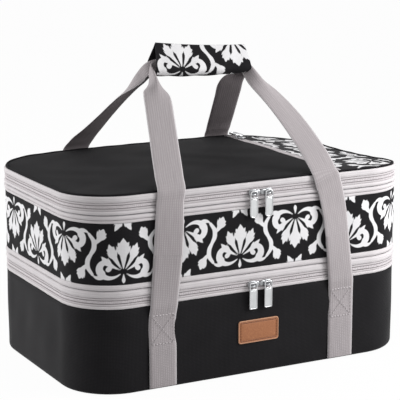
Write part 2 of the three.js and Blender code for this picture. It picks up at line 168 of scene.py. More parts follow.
def clothMaterial(name, cloth):
    # woven cloth: two thread waves on the cloth's own map, in mm, make the weave; slow noise fades the dye
    material, tree, shader = startMaterial(name, cloth["look"])
    onCloth = addNode(tree, "UVMap", {"uv_map": "clothMap"}).outputs["UV"]
    waves = [
        addNode(tree, "TexWave", {
            "bands_direction": way, "Scale": weaveLook[way] / size, "Distortion": cloth["slub"],
            "Detail": 1.0, "Detail Scale": 0.6, "Vector": onCloth,
        })
        for way, size in cloth["threads"]
    ]
    weave = addNode(tree, "Math", {
        "operation": "MULTIPLY", 0: waves[0].outputs["Fac"], 1: waves[1].outputs["Fac"],
    }).outputs[0]
    if "streaks" in cloth:
        along, across = cloth["streaks"]
        drawn = addNode(tree, "Mapping", {"Scale": (1 / along, 1 / across, 1), "Vector": onCloth})
        fadePlace = {"Scale": 1.0, "Vector": drawn.outputs[0]}
    else:
        inSpace = addNode(tree, "TexCoord")
        fadePlace = {"Scale": 1000 / cloth["fadeSize"], "Vector": inSpace.outputs["Object"]}
    fade = addNode(tree, "TexNoise", {"Detail": 4.0, **fadePlace})
    colour = addNode(tree, "Mix", {
        "data_type": "RGBA", 0: weave, 6: linearColour(cloth["shade"]), 7: linearColour(cloth["colour"]),
    })
    if "selvedge" in cloth:
        wide, edge = cloth["selvedge"]
        place = addNode(tree, "SeparateXYZ", {0: onCloth})
        inward = addNode(tree, "Math", {"operation": "PINGPONG", 0: place.outputs["Y"], 1: wide / 2})
        rim = addNode(tree, "MapRange", {
            "Value": inward.outputs[0], "From Min": edge, "From Max": edge - weaveLook["rimBlur"],
        })
        colour = addNode(tree, "Mix", {
            "data_type": "RGBA", 0: rim.outputs[0], 6: colour.outputs[2], 7: linearColour(cloth["rim"]),
        })
    if "ink" in cloth:
        motif = addNode(tree, "Attribute", {"attribute_name": "motifGap"})
        edge = addNode(tree, "MapRange", {
            "Value": motif.outputs["Fac"], "From Min": weaveLook["inkBlur"],
            "From Max": -weaveLook["inkBlur"],
        })
        ink = addNode(tree, "Mix", {
            "data_type": "RGBA", 0: weave, 6: linearColour(cloth["inkShade"]), 7: linearColour(cloth["ink"]),
        })
        colour = addNode(tree, "Mix", {
            "data_type": "RGBA", 0: edge.outputs[0], 6: colour.outputs[2], 7: ink.outputs[2],
        })
    tone = addNode(tree, "MapRange", {
        "Value": fade.outputs["Fac"], "From Min": 0.3, "From Max": 0.7, "To Min": cloth["fadeLow"],
        "To Max": 1.0,
    })
    dyed = addNode(tree, "Mix", {
        "data_type": "RGBA", "blend_type": "MULTIPLY", 0: 1.0, 6: colour.outputs[2], 7: tone.outputs[0],
    })
    bump = addNode(tree, "Bump", {
        "Strength": cloth["raise"], "Distance": cloth["depth"] * mm, "Height": weave,
    })
    tree.links.new(dyed.outputs[2], shader.inputs["Base Color"])
    tree.links.new(bump.outputs[0], shader.inputs["Normal"])
    return material


# 600 denier polyester in a plain weave: dull black with a faint grid and a soft edge sheen.
# Real threads are 0.4 mm apart, drawn at 1.6 mm so that they show.
plainWeave = {"threads": [("X", 1.6), ("Y", 1.6)], "slub": 0.8, "depth": 0.25, "raise": 0.6, "fadeSize": 34}
blackCloth = clothMaterial("plainWeavePolyester", {
    **plainWeave, "colour": "#242325", "shade": "#171618", "fadeLow": 0.74,
    "look": {"Roughness": 0.85, "Sheen Weight": 0.01, "Sheen Roughness": 0.5, "Specular IOR Level": 0.08},
})
# The same cloth on the base, brushed: it pales where it turns away from the eye
brushedCloth = clothMaterial("brushedPolyester", {
    **plainWeave, "colour": "#282729", "shade": "#1A191B", "fadeLow": 0.78,
    "look": {"Roughness": 0.8, "Sheen Weight": 0.2, "Sheen Roughness": 0.3, "Specular IOR Level": 0.1},
})
# Cotton-look polyester twill tape: warm pale grey with diagonal lines, drawn at 1.5 mm instead of 0.5 mm
twillTrim = clothMaterial("twillTape", {
    "colour": "#DAD6D7", "shade": "#C9C4C6", "threads": [("DIAGONAL", 1.5), ("Y", 2.6)], "slub": 0.5,
    "depth": 0.2, "raise": 0.45, "fadeSize": 45, "fadeLow": 0.95,
    "look": {"Roughness": 0.85, "Sheen Weight": 0.1, "Specular IOR Level": 0.25},
})
# Zip tape: a closer weave of the same yarn
zipTape = clothMaterial("zipTapeWeave", {
    "colour": "#D2CDCF", "shade": "#BEB8BA", "threads": [("X", 1.1), ("Y", 1.1)], "slub": 0.3, "depth": 0.15,
    "raise": 0.4, "fadeSize": 40, "fadeLow": 0.95,
    "look": {"Roughness": 0.85, "Specular IOR Level": 0.25},
})
# Polypropylene webbing: faint ribs across the strap, 1.9 mm instead of 1 mm, streaks along it, pale edges
ribWeave = {
    "threads": [("X", 1.9), ("Y", 2.6)], "slub": 2.2, "depth": 0.35, "raise": 0.4, "streaks": (26, 1.5),
    "fadeLow": 0.86,
}
webbing = clothMaterial("ribbedWebbing", {
    **ribWeave, "colour": "#B4AEB0", "shade": "#A29B9D", "selvedge": (33, 1.5), "rim": "#C9C4C6",
    "look": {"Roughness": 0.8, "Sheen Weight": 0.12, "Specular IOR Level": 0.25},
})
# The same webbing on its inner side, darker: painted shade for the strap's underside, which faces away from
# the lamps
webbingPaintedShade = clothMaterial("ribbedWebbingPaintedShade", {
    **ribWeave, "colour": "#8F888A", "shade": "#7D7678",
    "look": {"Roughness": 0.85, "Specular IOR Level": 0.15},
})
# Printed polyester: white ink that sinks into a black plain weave
printCloth = clothMaterial("printedPolyester", {
    "colour": "#242325", "shade": "#19181A", "ink": "#F0EFF0", "inkShade": "#DFDEE0",
    "threads": [("X", 1.5), ("Y", 1.5)], "slub": 0.7, "depth": 0.2, "raise": 0.4, "fadeSize": 60,
    "fadeLow": 0.94, "look": {"Roughness": 0.9, "Sheen Weight": 0.03, "Specular IOR Level": 0.1},
})
# Spun polyester thread: pale, with a twist that catches light
spun = {"slub": 0.2, "depth": 0.1, "raise": 0.4, "fadeSize": 20}
thread = clothMaterial("spunThread", {
    **spun, "colour": "#D2CDCF", "shade": "#BAB4B6", "threads": [("X", 0.9), ("Y", 3.0)], "fadeLow": 0.95,
    "look": {"Roughness": 0.6},
})
# Waxed thread on the leather: dark tan and smoother
waxedThread = clothMaterial("waxedThread", {
    **spun, "colour": "#7E4B2C", "shade": "#633820", "threads": [("X", 0.8), ("Y", 3.0)], "fadeLow": 0.9,
    "look": {"Roughness": 0.5},
})
# Hook and loop tape: black nylon pile with a rough, broken sheen
nylonPile = clothMaterial("nylonPile", {
    "colour": "#333235", "shade": "#151516", "threads": [("X", 1.2), ("Y", 1.2)], "slub": 3.0, "depth": 0.6,
    "raise": 0.9, "fadeSize": 12, "fadeLow": 0.8, "look": {"Roughness": 0.9, "Sheen Weight": 0.3},
})


def grainMaterial(name, grain):
    # noise or cell pattern in space that shades the colour, moves the roughness and lifts the bump
    material, tree, shader = startMaterial(name, grain["look"])
    inSpace = addNode(tree, "TexCoord")
    pattern = addNode(tree, grain["kind"], {
        "Scale": 1000 / grain["size"], **grain["settings"], "Vector": inSpace.outputs["Object"],
    })
    value = pattern.outputs[0]
    colour = addNode(tree, "Mix", {
        "data_type": "RGBA", 0: value, 6: linearColour(grain["shade"]), 7: linearColour(grain["colour"]),
    })
    smoothest, roughest = grain["rough"]
    rough = addNode(tree, "MapRange", {"Value": value, "To Min": smoothest, "To Max": roughest})
    bump = addNode(tree, "Bump", {
        "Strength": grain["raise"], "Distance": grain["depth"] * mm, "Height": value,
    })
    tree.links.new(colour.outputs[2], shader.inputs["Base Color"])
    tree.links.new(rough.outputs[0], shader.inputs["Roughness"])
    tree.links.new(bump.outputs[0], shader.inputs["Normal"])
    return material


# Vegetable-tanned leather, pressed: tan with fine pebbles, 1.4 mm
pebbles = {"kind": "TexVoronoi", "settings": {"feature": "SMOOTH_F1"}, "look": {"Specular IOR Level": 0.4}}
tanLeather = grainMaterial("tannedLeather", {
    **pebbles, "size": 1.4, "colour": "#AE754F", "shade": "#925B3B", "rough": (0.5, 0.7), "raise": 0.35,
    "depth": 0.2,
})
# The same leather on the raised rim, paler: a painted highlight where the rim catches the light
rimHighlightLeather = grainMaterial("rimHighlightLeather", {
    **pebbles, "size": 1.0, "colour": "#CB9A7B", "shade": "#B07F60", "rough": (0.5, 0.65), "raise": 0.2,
    "depth": 0.1,
})
# The same leather in the pressed groove: a little darker, painted shade in the recess, and smoother
grooveShadeLeather = grainMaterial("grooveShadeLeather", {
    **pebbles, "size": 1.0, "colour": "#A86F4A", "shade": "#8C5839", "rough": (0.45, 0.6), "raise": 0.2,
    "depth": 0.1,
})
# Die-cast zinc with a nickel coat: bright, with faint clouding
metalClouds = {"kind": "TexNoise", "settings": {"Detail": 3.0}, "look": {"Metallic": 1.0}}
nickel = grainMaterial("nickelPlate", {
    **metalClouds, "size": 6, "colour": "#D6D6D7", "shade": "#BCBDBF", "rough": (0.16, 0.34), "raise": 0.05,
    "depth": 0.05,
})
# The same coat on the cast sliders: duller and greyer
castNickel = grainMaterial("castNickel", {
    **metalClouds, "size": 4, "colour": "#B4B5B7", "shade": "#86888B", "rough": (0.24, 0.42), "raise": 0.1,
    "depth": 0.08,
})
# The same coat with a satin finish, on the sunk face of the pulls
satinNickel = grainMaterial("satinNickel", {
    **metalClouds, "size": 5, "settings": {"Detail": 4.0}, "colour": "#D2D3D4", "shade": "#BFC1C2",
    "rough": (0.38, 0.52), "raise": 0.08, "depth": 0.05,
})
# Aluminised film lining, heat sealed: silver satin with soft crinkles about 14 mm across
foilLining = grainMaterial("aluminisedFilm", {
    "kind": "TexNoise", "size": 14, "settings": {"Detail": 3.0, "Distortion": 0.8}, "colour": "#C9CCCF",
    "shade": "#A9ADB2", "rough": (0.28, 0.46), "raise": 0.5, "depth": 1.2, "look": {"Metallic": 0.75},
})
# Nylon monofilament coil: pale grey, slightly glossy
nylonCoil = grainMaterial("nylonCoil", {
    "kind": "TexNoise", "size": 3, "settings": {"Detail": 2.0}, "colour": "#D6D0D2", "shade": "#B8B1B4",
    "rough": (0.35, 0.5), "raise": 0.2, "depth": 0.1, "look": {"Specular IOR Level": 0.5},
})
print("materials made")


# Mesh tools

def lengthsOf(lines, closed):
    # running length along each line of points, first axis along it
    if closed:
        lines = np.concatenate([lines, lines[:1]])
    steps = np.linalg.norm(np.diff(lines, axis=0), axis=-1)
    return np.concatenate([np.zeros((1,) + steps.shape[1:]), np.cumsum(steps, 0)])


def skin(name, parts, material, field=None, backMaterial=None, backFrom=None):
    # each part is a grid (along, around, xyz) in mm, closed around; a ring closes along too, others get ends
    points, faces, places, smooth, second, sharp = [], [], [], [], [], []
    base = 0
    for grid, ring in parts:
        n, m = grid.shape[:2]
        flat = grid.reshape(-1, 3)
        i, j = np.meshgrid(np.arange(n if ring else n - 1), np.arange(m), indexing="ij")
        i, j = i.ravel(), j.ravel()
        steps = [(0, 0), (1, 0), (1, 1), (0, 1)]
        quads = np.stack([(i + a) % n * m + (j + b) % m for a, b in steps], 1)
        along = lengthsOf(grid, ring)
        around = lengthsOf(grid.swapaxes(0, 1), True)
        along = along[:, along[-1].argmax()]
        around = around[:, around[-1].argmax()]
        uv = np.stack([np.stack([along[i + a], around[j + b]], 1) for a, b in steps], 1)
        a, b, c, d = (flat[quads[:, k]] - flat.mean(0) for k in range(4))
        inward = (np.cross(a, b) * c + np.cross(a, c) * d).sum() < 0
        caps = [] if ring else [np.arange(m), np.arange(n * m - 1, (n - 1) * m - 1, -1)]
        if inward:
            quads, uv, caps = quads[:, ::-1], uv[:, ::-1], [cap[::-1] for cap in caps]
        points.append(flat)
        faces += (quads + base).tolist() + [(cap + base).tolist() for cap in caps]
        places += [uv.reshape(-1, 2)] + [np.zeros((m, 2)) for cap in caps]
        smooth += [np.ones(len(quads), bool), np.zeros(len(caps), bool)]
        second += [np.zeros(len(quads)) if backFrom is None else j >= backFrom, np.zeros(len(caps))]
        ends = np.zeros(n * m)
        if not ring:
            ends[:m], ends[-m:] = 1, 2
        sharp.append(ends)
        base += n * m
    mesh = bpy.data.meshes.new(name)
    mesh.from_pydata((np.concatenate(points) * mm).tolist(), [], faces)
    mesh.polygons.foreach_set("use_smooth", np.concatenate(smooth))
    mesh.materials.append(material)
    if backMaterial:
        mesh.materials.append(backMaterial)
        mesh.polygons.foreach_set("material_index", np.concatenate(second).astype(np.int32))
    clothMap = mesh.uv_layers.new(name="clothMap")
    clothMap.uv.foreach_set("vector", np.concatenate(places).astype(np.float32).ravel())
    ends = np.concatenate(sharp)
    if ends.any():
        pairs = np.empty(len(mesh.edges) * 2, np.int32)
        mesh.edges.foreach_get("vertices", pairs)
        pairs = ends[pairs.reshape(-1, 2)]
        edges = mesh.attributes.new("sharp_edge", "BOOLEAN", "EDGE")
        edges.data.foreach_set("value", (pairs[:, 0] > 0) & (pairs[:, 0] == pairs[:, 1]))
    if field is not None:
        gap = mesh.attributes.new("motifGap", "FLOAT", "POINT")
        gap.data.foreach_set("value", field.astype(np.float32).ravel())
    piece = bpy.data.objects.new(name, mesh)
    scene.collection.objects.link(piece)
    return piece


def settle(piece, body, slot, *nodes):
    # one piece on its body, with the solids that it stands for
    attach(piece, body)
    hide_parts(*nodes)


def bendBetween(piece, bodies, start, end, slot, *nodes):
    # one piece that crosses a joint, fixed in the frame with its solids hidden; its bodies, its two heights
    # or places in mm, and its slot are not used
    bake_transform(piece)
    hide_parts(*nodes)


def eased(value, start=0, over=1):
    # smooth step from 0 at start to 1 after that length
    t = np.clip((value - start) / over, 0, 1)
    return t * t * (3 - 2 * t)


def between(low, high, share):
    # place between two values, at a share from -1 to 1
    return (low + high) / 2 + share * (high - low) / 2


def ringOf(count):
    # even angles round a circle
    return np.linspace(0, 2 * math.pi, count, endpoint=False)


def strip(count, power):
    # flat closed section: shares across and through, thick in the middle and rounded off at both edges
    w = np.linspace(-1, 1, count)
    t = np.sqrt(np.clip(1 - np.abs(w) ** power, 0, 1))
    return np.concatenate([w, w[-2:0:-1]]), np.concatenate([t, -t[-2:0:-1]])


def squared(x, power):
    # sine or cosine bent towards a square wave
    return np.sign(x) * np.abs(x) ** (2 / power)


def pillow(size, power=(4, 4), count=(14, 24)):
    # superellipsoid: rounded block of that size, poles on the third axis
    p = np.linspace(-math.pi / 2, math.pi / 2, count[0])[1:-1, None]
    q = ringOf(count[1])[None, :]
    x = squared(np.cos(p), power[1]) * squared(np.cos(q), power[0])
    y = squared(np.cos(p), power[1]) * squared(np.sin(q), power[0])
    z = squared(np.sin(p), power[1]) * np.ones_like(q)
    return np.stack([x, y, z], -1) * np.array(size) / 2


def cubicAt(knots, slope, i, f, span=1):
    # cubic curve from knot i to the next, at a share f of the way
    line = knots[i] * (1 + 2 * f) * (1 - f) ** 2 + knots[i + 1] * f * f * (3 - 2 * f)
    return line + span * (slope[i] * f * (1 - f) ** 2 - slope[i + 1] * f * f * (1 - f))


def turnLengths(runX, runY, radius):
    # running length at each turn of a rounded rectangle, from the middle of its front
    arc = radius * math.pi / 2
    return np.cumsum([0, runX, arc, 2 * runY, arc, 2 * runX, arc, 2 * runY, arc, runX])


def roundedPlace(s, runX, runY, radius, out=0):
    # rounded rectangle by length: the corner's centre and the angle both run straight between the turns
    at = turnLengths(runX, runY, radius)
    s = np.mod(s, at[-1])
    angle = np.interp(s, at, math.pi / 2 * np.array([-1, -1, 0, 0, 1, 1, 2, 2, 3, 3]))
    centreX = np.interp(s, at, runX * np.array([0, 1, 1, 1, 1, -1, -1, -1, -1, 0]))
    centreY = np.interp(s, at, runY * np.array([-1, -1, -1, 1, 1, 1, 1, -1, -1, -1]))
    return centreX + (radius + out) * np.cos(angle), centreY + (radius + out) * np.sin(angle), angle


# Body outline, from the solids

def boxOf(node):
    # lowest and highest corner of a solid, in mm
    return [np.array(corner, float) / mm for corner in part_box(node)]


halfX, halfY = boxOf("base_shell")[1][:2]
cornerRadius = 60
runX, runY = halfX - cornerRadius, halfY - cornerRadius
turnAt = turnLengths(runX, runY, cornerRadius)
perimeter = turnAt[-1]
backEnd = turnAt[4]  # where the zips end, at the back corners


def roundWall(count):
    # even lengths round the outline
    return np.linspace(0, perimeter, count, endpoint=False)


def ripples(s, high, rows):
    # waves round the outline, by rows of how many, slant in radians per mm of height, and size in mm
    turns = 2 * math.pi * s / perimeter
    return sum(size * np.sin(count * turns + slant * high) for count, slant, size in rows)


def wallFlat(s):
    # 1 in the middle of each flat side, 0 round the corners
    middles = [turnAt[2] + runY, turnAt[4] + runX, turnAt[6] + runY]
    at = np.sort(np.concatenate([turnAt, middles]))
    value = np.isin(at, [0, *middles, perimeter]).astype(float)
    return eased(np.interp(np.mod(s, perimeter), at, value))


sagLook = {"right": 10.5, "left": 2.6, "fromX": 92, "overX": 116, "overY": 175}


def lidSag(x, y):
    # the soft lid hangs at its ends, most of all at the pocket, and not along the front
    right, left = (eased(way * x, sagLook["fromX"], sagLook["overX"]) for way in (1, -1))
    behind = np.sin(math.pi / 2 * np.clip((y + halfY) / sagLook["overY"], 0, 1))
    return (sagLook["right"] * right + sagLook["left"] * left) * behind


def sagged(x, y, high):
    # height at that place: above the print it sags along with the lid
    return high - lidSag(x, y) * np.clip((high - printTop) / (stripTop - printTop), 0, 1)


def alongWall(s, out, high):
    # points at length s, pushed outward and at a height, all broadcast together
    s, out, high = np.broadcast_arrays(s, out, high)
    x, y = roundedPlace(s, runX, runY, cornerRadius, out)[:2]
    return np.stack([x, y, sagged(x, y, high)], -1)


def heightOf(node, top):
    # foot or top of a solid, in mm
    return boxOf(node)[top][2]


baseTop = heightOf("base_shell", 1)
trimTop = heightOf("base_trim", 1)
collarLow, collarTop = heightOf("deck_collar", 0), heightOf("deck_collar", 1)
weltTop = heightOf("lower_welt", 1)
padTop = heightOf("divider_pad", 1)
printTop = heightOf("gusset_print", 1)
liningTop = heightOf("gusset_liner", 1)
bindingTop = heightOf("print_binding", 1)
upperWeltTop = heightOf("upper_welt", 1)
rimTop = heightOf("rim_collar", 1)
stripLow, stripTop = heightOf("lid_side_strip", 0), heightOf("lid_side_strip", 1)
lidTop = heightOf("lid_top_panel", 1)
lowerClosure = (trimTop + collarLow) / 2
upperClosure = (rimTop + stripLow) / 2


# Bands of trim

bandLook = {
    "edge": 0.6, "thick": 1.9, "step": 4.0, "fullness": 3.5, "puckers": [(67, 0, 0.14), (23, 1, 0.14)],
}
# piece, body, solid, foot and top with the gap at each seam, bulge
trimBands = [
    ("base_trim_band", "base", "base_trim", baseTop + 0.1, trimTop, 1.3),
    ("deck_collar_band", "deck", "deck_collar", collarLow, collarTop - 0.3, 1.5),
    ("lower_welt_band", "deck", "lower_welt", collarTop + 0.4, weltTop, 1.6),
    ("print_binding_band", "rim", "print_binding", printTop + 0.2, bindingTop, 1.2),
    ("upper_welt_band", "rim", "upper_welt", bindingTop + 0.2, upperWeltTop - 0.4, 1.6),
    ("rim_collar_band", "rim", "rim_collar", upperWeltTop + 0.4, rimTop, 1.5),
    ("lid_side_band", "lid", "lid_side_strip", stripLow, stripTop, 1.4),
]


def trimBand(name, low, high, bulge, ring):
    # cloth strip sewn at both edges: it swells between them, puckers at the seams, and its back is flat;
    # it goes all the way round or stops at the back corners
    start, end = (0, perimeter) if ring else (-backEnd, backEnd)
    s = np.linspace(start, end, round((end - start) / bandLook["step"]), endpoint=not ring)[:, None]
    t = np.linspace(0, 1, 11)
    face = bulge * (1 - np.abs(2 * t - 1) ** bandLook["fullness"]) - bandLook["edge"]
    face = face + ripples(s, low, bandLook["puckers"])
    back = np.full((len(s), 2), -bandLook["thick"])
    rows = np.append(low + (high - low) * t, [high, low])
    return skin(name, [(alongWall(s, np.concatenate([face, back], 1), rows), ring)], twillTrim)


for name, body, node, low, high, bulge in trimBands:
    settle(trimBand(name, low, high, bulge, body != "lid"), body, "trim_fabric", node)
print("trim bands made")


# Base: a lofted tub that bellies a little, with its lining

baseLook = {
    "belly": 1.6, "ripples": [(13, 0.03, 0.35), (29, -0.05, 0.21)], "radius": 5, "thick": 1.2, "lip": 0.5,
}
baseLining = {"gap": 0.5, "under": 4, "wall": 7.6, "floor": 10.4, "lower": 0.4, "radius": 10, "lip": 1.5}
# shares of the floor with a row each, how much tighter the inner bend is, and the wall's first row over it
tubLook = {"floorAt": (0.03, 0.5, 0.9), "tighter": 2, "wallFrom": 3, "wallRows": 14, "bendRows": 7}


def tubProfile(outerInset, outerFloor, innerInset, innerFloor, top, radius, lip):
    # (inset, height, share of the plan) from underneath, up the outside, over the lip and down inside
    bend = np.linspace(0, math.pi / 2, tubLook["bendRows"])
    innerRadius = radius - tubLook["tighter"]
    rows = []
    for inset, low, r in ((outerInset, outerFloor, radius), (innerInset, innerFloor, innerRadius)):
        flat = np.array([[inset + r, low, f] for f in tubLook["floorAt"]])
        arc = np.stack([inset + r - r * np.sin(bend), low + r - r * np.cos(bend), np.ones(len(bend))], 1)
        heights = np.linspace(low + r + tubLook["wallFrom"], top - lip, tubLook["wallRows"])
        rows.append(np.concatenate([flat, arc, [[inset, z, 1] for z in heights]]))
    mid = (outerInset + innerInset) / 2
    return np.concatenate([rows[0], [[mid, top, 1]], rows[1][::-1]])


def bellied(s, z):
    # flat sides push out between floor and rim, with shallow ripples
    rise = np.sin(math.pi * np.clip(z / baseTop, 0, 1))
    return rise * (baseLook["belly"] * wallFlat(s) + ripples(s, z, baseLook["ripples"]))


def tub(name, profile, material, slack):
    # the profile carried round the outline, with its walls bellied by that share
    s = roundWall(316)[None, :]
    inset, high, share = (profile[:, k, None] for k in range(3))
    grid = alongWall(s, slack * bellied(s, high) - inset, high)
    grid[..., :2] *= share[..., None]
    return skin(name, [(grid, False)], material)


thick = baseLook["thick"]
shellProfile = tubProfile(0, 0, thick, thick, baseTop, baseLook["radius"], baseLook["lip"])
baseShell = tub("base_shell_cloth", shellProfile, brushedCloth, 1)
settle(baseShell, "base", "black_fabric", "base_shell", "bottom_board")
liningProfile = tubProfile(
    thick + baseLining["gap"], baseLining["under"], baseLining["wall"], baseLining["floor"],
    baseTop - baseLining["lower"], baseLining["radius"], baseLining["lip"],
)
settle(tub("base_lining", liningProfile, foilLining, 0), "base", "lining", "base_foam", "base_liner")
print("base made")


# Zips: tapes with a folded edge, and coils

zipLook = {"pitch": 2.2, "beat": 0.16, "coil": 0.72, "coilOff": 0.62, "coilIn": 0.5}
# the flap and the zip's own tape under it: how far short of the closure, half its thickness, how deep
zipTapes = [(2.2, 0.55, 0.25), (0.15, 0.3, 1.7)]
hingeLook = {"past": 6, "thick": 0.7, "inset": 0.9, "slack": 0.5, "seam": 1, "bend": 3}


def coilSection(share, teeth, size):
    # round wire along a line from -1 to 1, a little thicker at each tooth: offsets across and up
    a = ringOf(8)
    radius = size * (1 + zipLook["beat"] * np.cos(math.pi * teeth * share))
    return radius * np.cos(a), radius * np.sin(a)


def zipHalf(name, seam, closure, way, body, node):
    # a folded flap from the seam to its edge, the zip's own tape under it, and a coil at the closure
    s = np.linspace(-backEnd, backEnd, 240)[:, None]
    w, t = strip(9, 4)
    parts = []
    for short, half, depth in zipTapes:
        edge = closure - way * short
        parts.append((alongWall(s, half * t - depth, between(seam, edge, w)), False))
    settle(skin(name + "_tape", parts, zipTape), body, "zip_tape", node)
    teeth = round(2 * backEnd / zipLook["pitch"])
    s = np.linspace(-backEnd, backEnd, teeth * 4)[:, None]
    across, up = coilSection(s / backEnd, teeth, zipLook["coil"])
    coil = alongWall(s, across - zipLook["coilIn"], closure - way * (zipLook["coilOff"] - up))
    settle(skin(name + "_coil", [(coil, False)], nylonCoil), body, "zip_tape")


zipHalf("lower_zip_low", trimTop, lowerClosure, 1, "base", "lower_zip_tape_bottom")
zipHalf("lower_zip_high", collarLow, lowerClosure, -1, "deck", "lower_zip_tape_top")
zipHalf("upper_zip_low", rimTop, upperClosure, 1, "rim", "upper_zip_tape_bottom")
zipHalf("upper_zip_high", stripLow, upperClosure, -1, "lid", "upper_zip_tape_top")


def hingeStrip(name, low, high):
    # straight strip of cloth along the back wall, a little slack
    s = np.linspace(backEnd - hingeLook["past"], perimeter - backEnd + hingeLook["past"], 80)[:, None]
    w, t = strip(13, 6)
    out = hingeLook["thick"] * t - hingeLook["inset"] + hingeLook["slack"] * (1 - w * w)
    return skin(name, [(alongWall(s, out, between(low, high, w)), False)], twillTrim)


seam, bend = hingeLook["seam"], hingeLook["bend"]
bendBetween(
    hingeStrip("lower_hinge_cloth", trimTop - seam, collarLow + seam), ("base", "deck"),
    (0, 0, lowerClosure - bend), (0, 0, lowerClosure + bend), "trim_fabric", "lower_hinge_strip",
)
settle(hingeStrip("upper_hinge_cloth", rimTop - seam, stripTop), "rim", "trim_fabric", "upper_hinge_strip")
print("zips made")


# Damask print: toothed blades and scrolls, laid out as mirrored crowns, fleurs and sprays

# the repeat is drawn at this size in mm, then grown to go round the wall a whole number of times
damask = {"wide": 142.0, "high": 99.0, "step": 0.6, "repeats": 9}
# height of each motif's root in the repeat, and what that and its hanging twin's height add up to
motifPlace = {"crown": 25, "fleur": 93.5, "spray": 44, "twins": 88}
damaskGrow = perimeter / damask["repeats"] / damask["wide"]


def stroke(points, halves, count=22):
    # smooth curve through the points; the half-width is the third number and runs along with them
    knots = np.column_stack([np.array(points, float), halves])
    t = np.linspace(0, len(knots) - 1, count)
    i = np.clip(t.astype(int), 0, len(knots) - 2)
    line = cubicAt(knots, np.gradient(knots, axis=0), i, (t - i)[:, None])
    return line[:, :2], np.maximum(line[:, 2], 0.1)


# shares of the blade where its first tooth begins and ends, its spread in widths, and the step to the next
toothLook = {"begin": (0.42, 0.17), "end": (0.74, 0.13), "spread": (1.42, -0.3)}


def leaf(root, tip, wide, teeth=2, bow=0.0):
    # long blade, bowed to one side and widest past its middle, with pairs of teeth towards its tip
    root, tip = np.array(root, float), np.array(tip, float)
    along = tip - root
    across = np.array([-along[1], along[0]]) / np.hypot(*along)

    def at(t):
        # place on the blade's bowed middle
        return root + along * t + across * bow * math.sin(math.pi * t)

    parts = [stroke([at(0), at(0.35), at(0.7), at(1)], [0.35, 0.55 * wide, 0.9 * wide, 0.15])]
    for k in range(teeth):
        begin, end, spread = (first + step * k for first, step in toothLook.values())
        for side in (-across, across):
            middle = at((begin + end) / 2) + side * wide * spread * 0.55
            point = at(end) + side * wide * spread
            parts.append(stroke([at(begin), middle, point], [0.4 * wide, 0.42 * wide, 0.12], 10))
    return parts


def scroll(root, heading, long, turns, wide):
    # spiral of that length: thin at its root, full on its first bend, with a round bud at its end
    t = np.linspace(0, 1, 34)
    head = math.radians(heading) + 2 * math.pi * turns * t**1.35
    step = long * (1.5 - t)[:, None] / len(t)
    path = np.array(root) + np.cumsum(np.stack([np.cos(head), np.sin(head)], 1) * step, 0)
    return [(path, wide * np.interp(t, [0, 0.4, 0.82, 0.93, 1], [0.12, 1, 0.42, 0.62, 0.66]))]


# right halves of the crown and the fleur, and half of the spray, which turns about its middle; in mm
crown = leaf((0, 3), (0, 37), 5.6) + leaf((2.2, 3), (16, 31), 3.9, 2, -1.2)
crown += leaf((3.6, 1.5), (24.5, 17.5), 2.9, 1, -1.5)
crown += scroll((1.4, -1), -38, 54, 1.02, 4.1) + leaf((0, -3), (0, -13), 2.2, 0)
fleur = leaf((0, 1), (0, 15), 3.6, 1) + scroll((0.8, 1), 62, 27, -0.64, 3.2)
fleur += leaf((1, -1.5), (9.5, -24), 3.2, 1, -1.5) + scroll((2, -5), -50, 42, 0.9, 4.0)
spray = [stroke([(0, 0), (3.6, -7), (3.2, -15), (-1.5, -22)], [2.0, 2.7, 2.4, 1.6])]
spray += scroll((-0.5, -21), 232, 25, -0.9, 3.2) + leaf((3.2, -10), (14.5, -28.5), 4.2, 2, 1.8)
spray = [(path + [damask["wide"] / 4, 0], half) for path, half in spray]


def damaskTile():
    # distance in mm from each spot of one repeat to the nearest stroke's edge, below 0 inside it
    wide, high = damask["wide"], damask["high"]
    lines = []
    for side in (1, -1):
        for motif, key in ((crown, "crown"), (fleur, "fleur"), (spray, "spray")):
            up, down = motifPlace[key], motifPlace["twins"] - motifPlace[key]
            lines += [(path * [side, 1] + [0, up], half) for path, half in motif]
            lines += [(path * [side, -1] + [wide / 2, down], half) for path, half in motif]
    columns, rows = round(wide / damask["step"]), round(high / damask["step"])
    u, v = np.meshgrid(np.arange(columns) * wide / columns, np.arange(rows) * high / rows)
    gap = np.full(u.shape, wide)
    for path, half in lines:
        middle = path.mean(0)
        du = np.mod(u - middle[0] + wide / 2, wide) - wide / 2
        dv = np.mod(v - middle[1] + high / 2, high) - high / 2
        steps = zip(path[:-1] - middle, np.diff(path, axis=0), half[:-1], np.diff(half))
        for (x, y), (dx, dy), start, more in steps:
            t = np.clip(((du - x) * dx + (dv - y) * dy) / (dx * dx + dy * dy), 0, 1)
            np.minimum(gap, np.hypot(du - x - t * dx, dv - y - t * dy) - start - more * t, out=gap)
    return gap


tileGap = damaskTile()


def damaskAt(u, v):
    # the repeat's distance at any place, straight between its four nearest spots
    rows, columns = tileGap.shape
    x = np.mod(u / damaskGrow / damask["wide"], 1) * columns
    y = np.mod(v / damaskGrow / damask["high"], 1) * rows
    i, j = np.floor(x).astype(int), np.floor(y).astype(int)
    a, b = x - i, y - j
    i, j = i % columns, j % rows
    right, above = (i + 1) % columns, (j + 1) % rows
    low = tileGap[j, i] * (1 - a) + tileGap[j, right] * a
    high = tileGap[above, i] * (1 - a) + tileGap[above, right] * a
    return (low * (1 - b) + high * b) * damaskGrow


print("damask repeat drawn")


# Printed wall and its lining

wallLook = {
    "step": 1.25, "belly": 1.5, "fullness": 0.8, "ripples": [(17, 0.05, 0.5), (31, 0, 0.35)], "thick": 1.0,
    "seam": 0.1, "start": 10.0, "shift": 21.0,
}
wallLining = {
    "face": 6.4, "lip": 5.2, "back": 1.8, "swell": 0.5, "channels": 7, "crinkles": [(41, 0.11, 0.35)],
    "under": 1, "over": 0.6, "lipOver": 0.9,
}
wallFoot = weltTop + wallLook["seam"]


